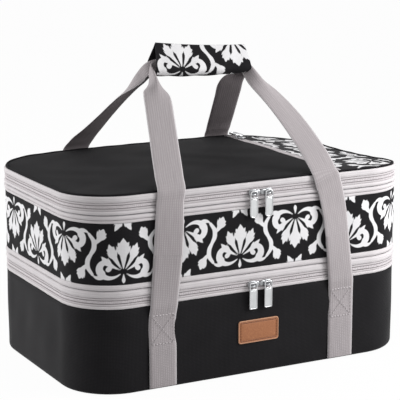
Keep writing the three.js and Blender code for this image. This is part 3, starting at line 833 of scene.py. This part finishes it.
def printedWallCloth():
    # swells between its seams with shallow ripples, on a grid that is fine enough for the print; flat back
    s = roundWall(round(perimeter / wallLook["step"]))[:, None]
    t = np.linspace(0, 1, round((printTop - weltTop) / wallLook["step"]))
    high = np.append(wallFoot + (printTop - weltTop) * t, [printTop, wallFoot])
    rise = np.append(np.sin(math.pi * t) ** wallLook["fullness"], [0, 0])
    out = rise * (wallLook["belly"] * wallFlat(s) + ripples(s, high, wallLook["ripples"])) - wallLook["seam"]
    out[:, -2:] = -wallLook["thick"]
    field = damaskAt(s + wallLook["shift"], high - weltTop + wallLook["start"])
    return skin("printed_wall", [(alongWall(s, out, high), True)], printCloth, field)


def wallLiningFoil():
    # face in sewn channels with a rounded lip on top, and a plain back against the wall
    s = roundWall(320)[:, None]
    t = np.linspace(0, 1, 24)
    foot, top = padTop - wallLining["under"], liningTop + wallLining["over"]
    face = wallLining["swell"] * np.sin(wallLining["channels"] * math.pi * t) - wallLining["face"]
    out = np.append(face, [-wallLining["lip"], -wallLining["back"], -wallLining["back"]])
    high = np.append(foot + (top - padTop) * t, [liningTop + wallLining["lipOver"], top, foot])
    out = out + ripples(s, high, wallLining["crinkles"])
    return skin("wall_lining", [(alongWall(s, out, high), True)], foilLining)


bendBetween(
    printedWallCloth(), ("deck", "rim"), (0, 0, wallFoot), (0, 0, printTop), "print_fabric", "gusset_print"
)
bendBetween(
    wallLiningFoil(), ("deck", "rim"), (0, 0, weltTop), (0, 0, printTop), "lining",
    "gusset_foam", "gusset_liner", "rim_foam",
)
print("printed wall made")


# Padded floor of the upper deck

# in from the outline, its rim's width and crown, and how far inside the solids its two faces stay
floorPad = {"inset": 2.0, "edge": 3.2, "crown": 1.4, "under": 1, "lower": 0.6}


def cushion(name, pad, low, high):
    # lined pad on the body's outline: rounded rim, top and bottom crowned towards the middle
    low, high = low + pad["under"], high - pad["lower"]
    mid, half = (low + high) / 2, (high - low) / 2
    s = roundWall(240)[None, :]
    angle = np.linspace(-math.pi / 2, math.pi / 2, 9)[:, None]
    rim = alongWall(s, pad["edge"] * np.cos(angle) - pad["inset"] - pad["edge"], mid + half * np.sin(angle))
    shares = np.array([0.97, 0.9, 0.8, 0.7, 0.55, 0.4, 0.25, 0.12, 0.03])[:, None]
    sides = []
    for row, way in ((rim[0], -1), (rim[-1], 1)):
        x, y = row[:, 0] * shares, row[:, 1] * shares
        level = mid + way * (half + pad["crown"] * (1 - shares**2))
        sides.append(np.stack([x, y, sagged(x, y, level + 0 * x)], -1))
    return skin(name, [(np.concatenate([sides[0][::-1], rim, sides[1]]), False)], foilLining)


dividerPad = cushion("divider_pad_lined", floorPad, heightOf("divider_liner", 0), padTop)
settle(dividerPad, "deck", "lining", "divider_pad", "divider_liner")


# Lid: crowned cover in two cloths, rolled seam, pocket zip, lined underside

lidLook = {
    "crown": 1.8, "inset": 3.2, "hollow": 0.8, "hollowOver": 5, "lower": 1.4, "thick": 2, "plainStep": 4.0,
    "printStep": 1.4,
}
# height of the cover's slack, how far in it is full, and its crossed waves: pace, bend and pace of the bend
slackLook = {"high": 0.55, "over": 20, "alongX": (0.075, 1.3, 0.04), "alongY": (0.062, 0.8, 0.035)}
pipeLook = {"radius": 1.35, "inset": 2.2, "up": 0.9, "ripples": [(37, 0, 0.15)]}
pocketLook = {
    "edge": 1.9, "lap": 0.5, "tapeUp": 0.35, "thick": 0.5, "coil": 0.7, "coilOff": 0.8, "coilDown": 0.1,
}
printPlace = {"alongY": 15, "alongX": -20}  # the print's shift on the lid
lidPad = {"inset": 5.5, "edge": 2.5, "crown": 0.0, "under": 0.8, "lower": 2.2}
pocketLeft, pocketRight = (corner[0] for corner in boxOf("pocket_zip_tape"))
pocketX = (pocketLeft + pocketRight) / 2
lidEdgeX = halfX - lidLook["inset"]


def rolledSeam():
    # round piping along the lid's edge, a little uneven
    s = roundWall(420)[:, None]
    a = ringOf(14)
    high = stripTop + pipeLook["up"] + pipeLook["radius"] * np.sin(a) + ripples(s, 0, pipeLook["ripples"])
    pipe = alongWall(s, pipeLook["radius"] * np.cos(a) - pipeLook["inset"], high)
    return skin("lid_rolled_seam", [(pipe, True)], blackCloth)


def lidReach(x):
    # half the lid's depth at x, with its rounded corners
    r = cornerRadius - lidLook["inset"]
    past = np.clip((np.abs(x) - runX) / r, 0, 1)
    return runY + r * np.sqrt(1 - past * past)


def bentWave(a, b, paces):
    # wave along a whose crests are bent by a slower wave along b, in radians per mm
    pace, bend, bendPace = paces
    return np.sin(a * pace + bend * np.sin(b * bendPace))


def lidHeight(x, y):
    # low dome that dips just inside the rolled seam, with a little slack and the sag of its ends
    edge = np.minimum(lidReach(x) - np.abs(y), lidEdgeX - np.abs(x))
    dome = lidLook["crown"] * (1 - (x / halfX) ** 2) * (1 - (y / halfY) ** 2)
    dip = lidLook["hollow"] * np.exp(-np.clip(edge, 0, None) / lidLook["hollowOver"])
    slack = bentWave(x, y, slackLook["alongX"]) * bentWave(y, x, slackLook["alongY"])
    slack = slackLook["high"] * slack * np.clip(edge / slackLook["over"], 0, 1)
    return lidTop - lidLook["lower"] + dome - dip - lidSag(x, y) + slack


def onLid(x, y, above):
    # points at that height over the lid's cover, all broadcast together
    x, y, above = np.broadcast_arrays(x, y, above)
    return np.stack([x, y, lidHeight(x, y) + above], -1)


def lidPanel(name, x0, x1, step, material, printed):
    # cover between two x values: rows run across the lid, and a coarser underside follows lower down
    x = np.linspace(x0, x1, max(round(abs(x1 - x0) / step), 8))[:, None]
    y = np.linspace(-1, 1, round(2 * halfY / step))[None, :] * lidReach(x)
    top = onLid(x, y, 0)
    under = top[:, np.linspace(y.shape[1] - 1, 0, 14).astype(int)] - [0, 0, lidLook["thick"]]
    grid = np.concatenate([top, under], 1)
    field = None
    if printed:
        field = damaskAt(grid[..., 1] + printPlace["alongY"], grid[..., 0] + printPlace["alongX"])
    return skin(name, [(grid, False)], material, field)


def pocketZip(name, side, seam):
    # tape from the panel's seam to its edge, and a coil of teeth beside the middle
    reach = lidReach(pocketX)
    w, t = strip(7, 4)
    outer, inner = seam + side * pocketLook["lap"], pocketX + side * pocketLook["edge"]
    y = np.linspace(-1, 1, 160)[:, None] * reach
    tape = onLid(between(inner, outer, w), y, pocketLook["tapeUp"] + pocketLook["thick"] * t)
    settle(skin(name + "_tape", [(tape, False)], zipTape), "lid", "zip_tape", "pocket_zip_tape")
    teeth = round(2 * halfY / zipLook["pitch"])
    y = np.linspace(-1, 1, teeth * 4)[:, None] * reach
    across, up = coilSection(y / reach, teeth, pocketLook["coil"])
    coil = onLid(pocketX + side * (pocketLook["coilOff"] + across), y, up - pocketLook["coilDown"])
    settle(skin(name + "_coil", [(coil, False)], nylonCoil), "lid", "zip_tape")


settle(rolledSeam(), "lid", "black_fabric", "lid_piping")
blackLid = lidPanel("lid_cover_black", -lidEdgeX, pocketLeft, lidLook["plainStep"], blackCloth, False)
settle(blackLid, "lid", "black_fabric", "lid_top_panel")
printLid = lidPanel("lid_cover_printed", pocketRight, lidEdgeX, lidLook["printStep"], printCloth, True)
settle(printLid, "lid", "print_fabric", "pocket_panel")
pocketZip("pocket_zip_left", -1, pocketLeft)
pocketZip("pocket_zip_right", 1, pocketRight)
lidLining = cushion("lid_lining", lidPad, heightOf("lid_liner", 0), stripTop)
settle(lidLining, "lid", "lining", "lid_foam", "lid_liner", "pocket_backing")
print("lid made")


# Zip sliders and pulls: rounded plates with a nose, a bridge, and a rimmed pull that hangs from it

sliderLook = {
    "plate": (10, 7.6, 2), "nose": (8, 6.2, 2.5), "rear": (13, 6.4, 1.3), "neck": (3.2, 0.8), "noseAt": 5.6,
    "rearAt": 2, "sunk": 1,
}
bridgeLook = {"reach": 3.6, "half": 0.95, "halfUp": 1.3, "sunk": 0.6}
pullLook = {"wide": 10.0, "above": 4.6, "hole": 3.6, "rim": 0.75, "rimOut": 0.95, "bar": (1.6, 1.7, 8.8)}
# (inset, out) of the pull's sunk face, from its middle round its edge to the middle of its back
pullFaceRows = [(3.6, 0.35), (2, 0.35), (0.9, 0.35), (0.7, 0), (0.9, -0.45), (2, -0.45), (3.6, -0.45)]
# the pin's place out from the zip and up, the slider's two faces, and the pull's length below its pin
frontZips = {"pin": (4.8, -1.9), "faces": (0.9, -3.0), "long": 26.0}
pocketMetal = {"pin": (4.0, 0.0), "faces": (0.5, -2.0), "long": 20.0, "corner": 4.0, "up": 0.9}


def turned(grid, origin, across, out, up):
    # local (x, out, up) to the carrier's frame
    return np.array(origin) + grid @ np.array([across, out, up], float)


def roundedLine(wide, tall, radius, count):
    # rounded rectangle by even steps of length: place and heading
    runs = (wide / 2 - radius, tall / 2 - radius)
    s = np.linspace(0, turnLengths(*runs, radius)[-1], count, endpoint=False)
    x, y, angle = roundedPlace(s, *runs, radius)
    return np.stack([x, y], 1), angle + math.pi / 2


def platePart(wide, tall, radius, rows, count=72):
    # plate from its outline stepped in by each row's inset and set out by its height, in local (x, out, up)
    parts = []
    for inset, out in rows:
        line = roundedLine(wide - 2 * inset, tall - 2 * inset, max(radius - inset, 0.3), count)[0]
        parts.append(np.stack([line[:, 0], 0 * line[:, 0] + out, line[:, 1]], -1))
    return np.stack(parts)


def sliderParts(nose, front, back):
    # front plate with a nose towards its partner, back plate, and the neck between the coils
    plate, rear = sliderLook["plate"], sliderLook["rear"]
    middle = front + plate[2] / 2
    shapes = [
        pillow(plate, (3.4, 3)) + [0, 0, middle],
        pillow(sliderLook["nose"], (2.6, 2.6)) + [nose * sliderLook["noseAt"], 0, middle],
        pillow(rear, (5, 4)) + [nose * sliderLook["rearAt"], 0, back - rear[2] / 2],
        pillow((*sliderLook["neck"], front - back + sliderLook["sunk"])) + [0, 0, (front + back) / 2],
    ]
    return [(grid[..., [0, 2, 1]], False) for grid in shapes]


def bridgePart(rise):
    # half hoop of oval wire along x that stands on the plate
    b = np.linspace(0, math.pi, 18)[:, None]
    a = ringOf(10)[None, :]
    half = bridgeLook["half"] * np.cos(a)
    x, out = (bridgeLook["reach"] + half) * np.cos(b), (rise + half) * np.sin(b)
    return np.stack([x, out, bridgeLook["halfUp"] * np.sin(a) + 0 * b], -1)


def zipMetal(name, origin, axes, pullAxes, look, nose, corner, bodies):
    # slider on its zip, pull on the bridge; the pull's pin is the joint's own axis
    out, up = look["pin"]
    front, back = look["faces"]
    slider = [(turned(grid, origin, *axes), ring) for grid, ring in sliderParts(nose, front, back)]
    stand = front + bridgeLook["sunk"]
    slider.append((turned(bridgePart(out - stand) + [0, stand, up], origin, *pullAxes), False))
    settle(skin(name + "_slider_metal", slider, castNickel), bodies[0], "zip_metal", name + "_slider")
    hang = np.array(origin) + out * np.array(pullAxes[1]) + up * np.array(pullAxes[2])
    wide, above, hole, below = pullLook["wide"], pullLook["above"], pullLook["hole"], look["long"]
    face = platePart(wide, below - hole, corner, pullFaceRows) - [0, 0, (below + hole) / 2]
    rimRows = [
        (pullLook["rim"] * (1 + math.cos(a)), pullLook["rimOut"] * math.sin(a)) for a in ringOf(12)
    ]
    rim = platePart(wide, above + below, corner, rimRows) + [0, 0, (above - below) / 2]
    bar = pillow(pullLook["bar"], (2.4, 5))[..., [2, 1, 0]] - [0, 0, hole]
    pullFace = skin(name + "_pull_face", [(turned(face, hang, *pullAxes), False)], satinNickel)
    settle(pullFace, bodies[1], "zip_metal", name + "_pull")
    rimParts = [(turned(rim, hang, *pullAxes), True), (turned(bar, hang, *pullAxes), False)]
    settle(skin(name + "_pull_rim", rimParts, nickel), bodies[1], "zip_metal")


frontAxes = ((1, 0, 0), (0, -1, 0), (0, 0, 1))
for levelName, closure, corner in (("lower", lowerClosure, 1.5), ("upper", upperClosure, 4.0)):
    for side, nose in (("left", 1), ("right", -1)):
        name = levelName + "_" + side
        origin = (np.mean(boxOf(name + "_pull"), 0)[0], -halfY, closure)
        bodies = (name + "_zip", name + "_tab")
        zipMetal(name, origin, frontAxes, frontAxes, frontZips, nose, corner, bodies)
pocketY = np.mean(boxOf("pocket_slider"), 0)[1]
pocketOrigin = (pocketX, pocketY, float(lidHeight(pocketX, pocketY)) + pocketMetal["up"])
zipMetal(
    "pocket", pocketOrigin, ((0, -1, 0), (0, 0, 1), (1, 0, 0)), ((1, 0, 0), (0, 0, 1), (0, -1, 0)),
    pocketMetal, 1, pocketMetal["corner"], ("pocket_zip", "pocket_tab"),
)
print("zip metal made")


# Leather label: rounded plate with a pressed edge and a stitched border, its face left bare

labelLook = {"corner": 3.0, "out": 1.0, "count": 120}
labelStitch = {"long": 2.3, "thick": 0.75, "inset": 2.7, "out": 1.62, "corner": 1.4, "pitch": 3.7}
labelLow, labelHigh = boxOf("leather_patch")
labelWide, labelTall = (labelHigh - labelLow)[[0, 2]]
labelX, labelZ = ((labelLow + labelHigh) / 2)[[0, 2]]
labelOrigin = (labelX, -halfY - labelLook["out"], labelZ)
# (inset, height) of the plate's face, from its middle over the pressed groove and the rim to its back
labelRows = [(11, 1.8), (4.4, 1.8), (3.7, 1.7), (3.3, 1.4), (2.1, 1.4), (1.7, 1.7), (1.0, 1.9)]
labelRows += [(0.3, 1.7), (0, 1.2), (0, 0.4), (0.5, 0), (11, 0)]
grooveRows = [(2.0, 1.3), (2.0, 1.5), (3.3, 1.5), (3.3, 1.3)]
labelRim = [(1.2, 1.4), (1.0, 1.95), (0.6, 2.1), (0.15, 1.9), (-0.1, 1.4), (-0.1, 0.5), (0.6, 0.3)]


def stitchRow(places, headings, long, thick):
    # small rounded rods laid end to end on a plane, in local (x, out, up)
    rod = pillow((thick, thick, long), (2, 3), (6, 6))[..., [2, 1, 0]]
    rods = []
    for (x, up), h in zip(places, headings):
        level = np.array([[math.cos(h), 0, math.sin(h)], [0, 1, 0], [-math.sin(h), 0, math.cos(h)]])
        rods.append((rod @ level + [x, 0, up], False))
    return rods


for name, material, ring, rows, nodes in (
    ("leather_label", tanLeather, False, labelRows, ["leather_patch"]),
    # the groove's darker leather is painted shade
    ("leather_label_groove", grooveShadeLeather, True, grooveRows, []),
    # the rim's paler leather is a painted highlight
    ("leather_label_rim", rimHighlightLeather, True, labelRim, []),
):
    plate = platePart(labelWide, labelTall, labelLook["corner"], rows, labelLook["count"])
    settle(skin(name, [(turned(plate, labelOrigin, *frontAxes), ring)], material), "base", "leather", *nodes)
inside = 2 * labelStitch["inset"]
stitches = round(2 * (labelWide + labelTall) / labelStitch["pitch"])
line, heading = roundedLine(labelWide - inside, labelTall - inside, labelStitch["corner"], stitches)
border = stitchRow(line, heading, labelStitch["long"], labelStitch["thick"])
border = [(turned(rod + [0, labelStitch["out"], 0], labelOrigin, *frontAxes), ring) for rod, ring in border]
settle(skin("leather_label_stitches", border, waxedThread), "base", "leather")
print("label made")


# Straps: flat on the wall, over the lid's edge, then leaning in and folding in half into the wrap

strapLook = {
    "wide": 33.0, "thick": 1.7, "crest": 2.0, "sewn": 1.2, "free": 2.9, "lowRows": (70, 13),
    "highRows": (150, 25), "letGo": 0.8,
}
# heights of its rows where it is sewn and free, of the cut between its pieces, and where it starts to lean
strapHeights = {
    "sewn": (3, 40, 84), "free": (93, 104, 120), "split": 150, "upper": 176, "lean": 84, "draw": 165,
    "bend": (80, 92),
}
# at the lid's edge, counted from the lid's top: rows below it, a step in, a step up, and the handle's bend
strapEdge = {"below": (26, 14, 3.5), "in": 0.8, "up": 0.4, "bend": (-8, 12)}
# at the handle: off its middle line at the tip and in the wrap, fold in degrees, and steps inwards and down
gripLook = {"tipOff": 2.5, "tip": (1, 0.4, 82), "off": 3.6, "fold": 84, "steps": ((14, 8), (30, 5), (56, 3))}
tailStitch = {"low": 52, "high": 84, "half": 13.4, "pitch": 3.9, "long": 2.4, "out": 2.05}
# from the lid to the handle: share of the way, twist as a share of a quarter turn, fold in degrees
strapTips = {
    "front_left": {"end": -4.0, "lower": 13.0, "swerve": 2.5, "bow": 0, "turn": 9, "cut": 0, "fold": [
        (0.1, 0, 0), (0.3, 0, 0), (0.6, 0, 0), (0.72, 0, 4), (0.8, 0, 22), (0.85, 0.03, 50),
        (0.89, 0.08, 67), (0.94, 0.2, 77),
    ]},
    "front_right": {"end": -9.0, "lower": 5.0, "swerve": 0, "bow": -8, "turn": -6, "cut": 6.5, "fold": [
        (0.1, -0.06, 0), (0.3, -0.04, 0), (0.5, 0.06, 2), (0.65, 0.16, 8), (0.75, 0.21, 18),
        (0.82, 0.23, 34), (0.88, 0.22, 54), (0.94, 0.22, 74),
    ]},
    "back_left": {"end": -4.0, "lower": 13.0, "swerve": 0, "bow": 0, "turn": 0, "cut": 0, "fold": [
        (0.1, 0.08, 0), (0.25, 0.24, 0), (0.45, 0.36, 0), (0.62, 0.4, 2), (0.74, 0.42, 14),
        (0.83, 0.46, 42), (0.91, 0.5, 66),
    ]},
    "back_right": {"end": -5.0, "lower": 5.0, "swerve": 10, "bow": 0, "turn": 0, "cut": 0, "fold": [
        (0.1, 0, 0), (0.3, 0, 0), (0.6, 0, 0), (0.78, 0, 3), (0.86, 0, 20), (0.91, 0.05, 48),
        (0.96, 0.2, 70),
    ]},
}
gripZ = np.mean(boxOf("front_grip"), 0)[2]
wrapLeft, wrapRight = (corner[0] for corner in boxOf("handle_wrap"))
handleLook = {"turn": -0.09, "droop": -0.065, "lower": 0.6, "sag": 2.0}


def handleAxis(x):
    # middle line of the handle: turned a little, lower to the right, and sagging between its ends
    sag = handleLook["sag"] * (1 - (x / wrapRight) ** 2)
    return handleLook["turn"] * x, gripZ - handleLook["lower"] + handleLook["droop"] * x - sag


def unit(rows):
    # each row at length 1
    return rows / np.linalg.norm(rows, axis=1)[:, None]


def smoothPath(knots, count):
    # cubic curve through rows of numbers, evenly spaced by the length of the first three
    knots = np.array(knots, float)
    at = lengthsOf(knots[:, :3], False)
    t = np.linspace(0, at[-1], count)
    i = np.clip(np.searchsorted(at, t, side="right") - 1, 0, len(at) - 2)
    span = (at[i + 1] - at[i])[:, None]
    return cubicAt(knots, np.gradient(knots, at, axis=0), i, (t - at[i])[:, None] / span, span)


def ribbon(stations, count, across):
    # webbing on rows (x, y, z, across x, y, z, fold): the fold turns both halves down from the crest
    line = smoothPath(stations, count)
    centre, side, fold = line[:, :3], line[:, 3:6], np.radians(line[:, 6])[:, None]
    along = unit(np.gradient(centre, axis=0))
    side = unit(side - (side * along).sum(1)[:, None] * along)
    normal = np.cross(side, along)
    w, t = strip(across, 10)
    w, t = w[None, :] * strapLook["wide"] / 2, t[None, :] * strapLook["thick"] / 2
    crest = strapLook["crest"]
    deep = np.sqrt(w * w + crest * crest) - crest
    tilt = np.tanh(w / crest)
    sideways = w * np.cos(fold) + t * tilt * np.sin(fold)
    inward = (strapLook["wide"] / 4 - deep) * np.sin(fold) + t * np.cos(fold)
    return centre[:, None] + side[:, None] * sideways[..., None] + normal[:, None] * inward[..., None]


def strapX(name, side):
    # middle of the strap at its foot and at the lid's edge
    tail, leg = boxOf(name + "_tail"), boxOf(name + "_leg")
    outer, inner = (1, 0) if side > 0 else (0, 1)
    half = side * strapLook["wide"] / 2
    return tail[outer][0] - half, leg[inner][0] + half


def strapStations(name, face, side):
    # the strap's course: foot, wall, bend over the lid's edge, then by its own fold rows to the wrap's end
    footX, topX = strapX(name, side)
    sewn, free = halfY + strapLook["sewn"], halfY + strapLook["free"]
    tip, at = strapTips[name], strapHeights

    def onWall(z, y):
        # straight up the base, then leaning, turned a little half way up, and drawn in towards the lid
        lean = np.clip((z - at["lean"]) / (lidTop - at["lean"]), 0, 1)
        drawn = tip["cut"] * np.clip((z - at["draw"]) / (lidTop - at["draw"]), 0, 1) ** 2
        twist = math.radians(tip["turn"]) * math.sin(math.pi * lean) ** 2
        y = y + strapLook["wide"] / 2 * abs(math.sin(twist))
        x = footX + (topX - footX) * lean - side * drawn
        return [x, face * y, z, -face * math.cos(twist), face * math.sin(twist), 0, 0]

    tipX = (wrapLeft if side < 0 else wrapRight) + tip["end"]
    axisY, axisZ = handleAxis(tipX)
    start = np.array([topX - side * tip["cut"], face * free, lidTop + strapEdge["up"]])
    finish = np.array([tipX, axisY + face * gripLook["tipOff"], axisZ - tip["lower"]])

    def leaning(t, twist, fold):
        # to the tip, held to one side until it folds or bowed on its whole way
        held = tip["swerve"] * t * (1 - eased(t, strapLook["letGo"], 1 - strapLook["letGo"]))
        held += tip["bow"] * math.sin(math.pi * t)
        x, y, z = start + (finish - start) * t
        return [x - side * held, y, z, -face * (1 - twist), side * twist, 0, fold]

    wall = [onWall(z, sewn) for z in at["sewn"]] + [onWall(z, free) for z in (*at["free"], at["split"])]
    edges = [lidTop - below for below in strapEdge["below"]]
    upper = [onWall(z, free) for z in (at["split"], at["upper"], *edges)]
    upper[-1][0] -= side * strapEdge["in"]
    upper += [leaning(*row) for row in tip["fold"] + [gripLook["tip"]]]
    for inside, lower in gripLook["steps"]:
        x = tipX - side * inside
        y, z = handleAxis(x)
        upper.append([x, y + face * gripLook["off"], z - lower, 0, side, 0, gripLook["fold"]])
    return wall, upper


def strapPiece(name, stations, rows):
    # webbing with painted shade, a darker colour, on its inner side
    return skin(name, [(ribbon(stations, *rows), False)], webbing, None, webbingPaintedShade, rows[1] - 1)


def boxStitch(name, face, side):
    # sewn square on the tail with a thinner cross in it
    half, low, high = tailStitch["half"], tailStitch["low"], tailStitch["high"]
    corners = np.array([(-half, low), (half, low), (half, high), (-half, high)])
    footX = strapX(name, side)[0]
    rods = []
    # the corners that each row joins, and its thread's thickness
    for a, b, thick in ((0, 1, 1.25), (2, 3, 1.25), (1, 2, 0.7), (3, 0, 0.7), (0, 2, 0.75), (1, 3, 0.75)):
        gap = corners[b] - corners[a]
        count = max(round(np.linalg.norm(gap) / tailStitch["pitch"]), 2)
        places = corners[a] + gap * (np.arange(count)[:, None] + 0.5) / count
        headings = np.full(count, math.atan2(gap[1], gap[0]))
        rods += stitchRow(places + [footX, 0], headings, tailStitch["long"], thick)
    out = halfY + tailStitch["out"]
    shown = [(grid * [1, face, 1] + [0, face * out, 0], ring) for grid, ring in rods]
    return skin(name + "_stitches", shown, thread)


for place, face in (("front", -1), ("back", 1)):
    for side in (-1, 1):
        name = place + ("_left" if side < 0 else "_right")
        lower, upper = strapStations(name, face, side)
        start, end = strapHeights["bend"]
        bendBetween(
            strapPiece(name + "_strap_low", lower, strapLook["lowRows"]), ("base", place + "_straps"),
            (0, 0, start), (0, 0, end), "webbing", name + "_tail", name + "_leg",
        )
        start, end = (lidTop + more for more in strapEdge["bend"])
        bendBetween(
            strapPiece(name + "_strap_high", upper, strapLook["highRows"]),
            (place + "_straps", place + "_handle"), (0, face * halfY, start), (0, face * halfY, end),
            "webbing", name + "_upper", place + "_grip",
        )
        settle(boxStitch(name, face, side), "base", "webbing")
print("straps made")


# Handle wrap: padded printed sleeve in two halves, creased on top, black inside, closed underneath

wrapLook = {
    "step": 1.3, "leftIn": 2.0, "rightIn": 5.0, "backOut": 3.0, "flapOut": 6.0, "leftFull": 1.12,
    "rightFull": 0.95, "tuck": 3.2, "tuckFrom": 0.62, "tuckOver": 0.2, "printAlong": 30, "printAround": 55,
    "plain": 9,
}
# thickness in mm, what is left of it at the crease, hem and ends, and how soon it is full from there
wrapPad = {
    "thick": 2.8, "crease": 0.15, "creaseOver": 0.12, "hem": 0.1, "hemOver": 0.03, "end": 0.5, "endOver": 7,
    "puff": 0.5, "puffAlong": 0.2, "puffAround": 9,
}
# half section from the crease down, round to the bottom and past it, outer face: out and up from the middle
wrapSection = [
    (0.2, 18), (4.2, 12.2), (9.6, 4.6), (14.8, -3.2), (16.8, -8.4), (14.6, -12.8), (8.4, -15.2), (0, -15.8),
    (-9.0, -15.4),
]
wrapCrease = wrapSection[0][1]
wrapOut = max(out for out, high in wrapSection)
creaseLook = {"up": 16, "over": 9}
# loop and hook: height in the section, from, to
tapeLook = {"endIn": 6, "thick": 0.35, "loop": (-13.0, -6, 4), "hook": (-12.8, 5, 8)}
sleeveLeft, sleeveRight = wrapLeft + wrapLook["leftIn"], wrapRight - wrapLook["rightIn"]


def sleeveHigh(x, high):
    # height in the section, drawn fuller at the left end than at the right
    share = (x - sleeveLeft) / (sleeveRight - sleeveLeft)
    full = wrapLook["leftFull"] + (wrapLook["rightFull"] - wrapLook["leftFull"]) * share
    return wrapCrease + (high - wrapCrease) * full


def sleeveHalf(face, tucked):
    # outer and inner face of one half, as rows (x, y, z); underneath, the tucked half runs inside the other
    line = smoothPath([(0, out, high) for out, high in wrapSection], 74)[:, 1:]
    t = np.linspace(0, 1, len(line))
    if tucked:
        line[:, 1] += wrapLook["tuck"] * eased(t, wrapLook["tuckFrom"], wrapLook["tuckOver"])
    tangent = unit(np.gradient(line, axis=0))
    inward = np.stack([tangent[:, 1], -tangent[:, 0]], 1)
    left = sleeveLeft - wrapLook["backOut" if tucked else "flapOut"] * np.clip(line[:, 0] / wrapOut, 0, 1)
    share = np.linspace(0, 1, round((sleeveRight - sleeveLeft) / wrapLook["step"]))[:, None]
    x = left + (sleeveRight - left) * share
    # thin at the crease, at the hem underneath and at both ends
    crease, end = wrapPad["crease"], wrapPad["end"]
    ends = np.clip(np.minimum(x - left, sleeveRight - x) / wrapPad["endOver"], 0, 1)
    thick = wrapPad["thick"] * (crease + (1 - crease) * eased(t, 0, wrapPad["creaseOver"]))
    thick = thick * np.sqrt(np.clip((1 - t) / wrapPad["hemOver"], wrapPad["hem"], 1))
    thick = thick * (end + (1 - end) * np.sqrt(ends))
    puff = np.sin(x * wrapPad["puffAlong"] + wrapPad["puffAround"] * t) * np.sin(math.pi * t) * ends
    puff = wrapPad["puff"] * puff
    axisY, axisZ = handleAxis(x)
    rows = []
    for depth in (-puff, thick - puff):
        out = line[:, 0] + inward[:, 0] * depth
        high = line[:, 1] + inward[:, 1] * depth
        rows.append(np.stack([x, axisY + face * out, axisZ + sleeveHigh(x, high)], -1))
    return rows


def sleeve(name, face, tucked):
    # outer face printed, inner face black and far from any motif
    outer, inner = sleeveHalf(face, tucked)
    grid = np.concatenate([outer, inner[:, ::-1]], 1)
    run = lengthsOf(outer[len(outer) // 2], False)
    around = np.concatenate([run, run[::-1]]) * face
    field = damaskAt(grid[..., 0] + wrapLook["printAlong"], around[None, :] + wrapLook["printAround"])
    field[:, len(run):] = wrapLook["plain"]
    return skin(name, [(grid, False)], printCloth, field, blackCloth, len(run))


def closureTape(name, high, y0, y1):
    # hook or loop strip, flat under the handle
    x = np.linspace(sleeveLeft + tapeLook["endIn"], sleeveRight - tapeLook["endIn"], 60)[:, None]
    axisY, axisZ = handleAxis(x)
    w, t = strip(12, 8)
    y = axisY + between(y0, y1, w)
    grid = np.stack([x + 0 * y, y, axisZ + sleeveHigh(x, high) + tapeLook["thick"] * t], -1)
    return skin(name, [(grid, False)], nylonPile)


wrapBack = sleeve("handle_wrap_back", 1, True)
settle(wrapBack, "back_handle", "print_fabric", "handle_wrap")
wrapFlap = sleeve("handle_wrap_flap", -1, False)
creaseZ = gripZ + creaseLook["up"]
bendBetween(
    wrapFlap, ("back_handle", "flap"), (0, 0, creaseZ),
    (creaseLook["over"] * handleLook["droop"], 0, creaseZ - creaseLook["over"]), "print_fabric", "wrap_flap",
)
settle(closureTape("loop_tape", *tapeLook["loop"]), "back_handle", "black_fabric", "loop_strip")
settle(closureTape("hook_tape", *tapeLook["hook"]), "flap", "black_fabric", "hook_strip")
print("handle wrap made")
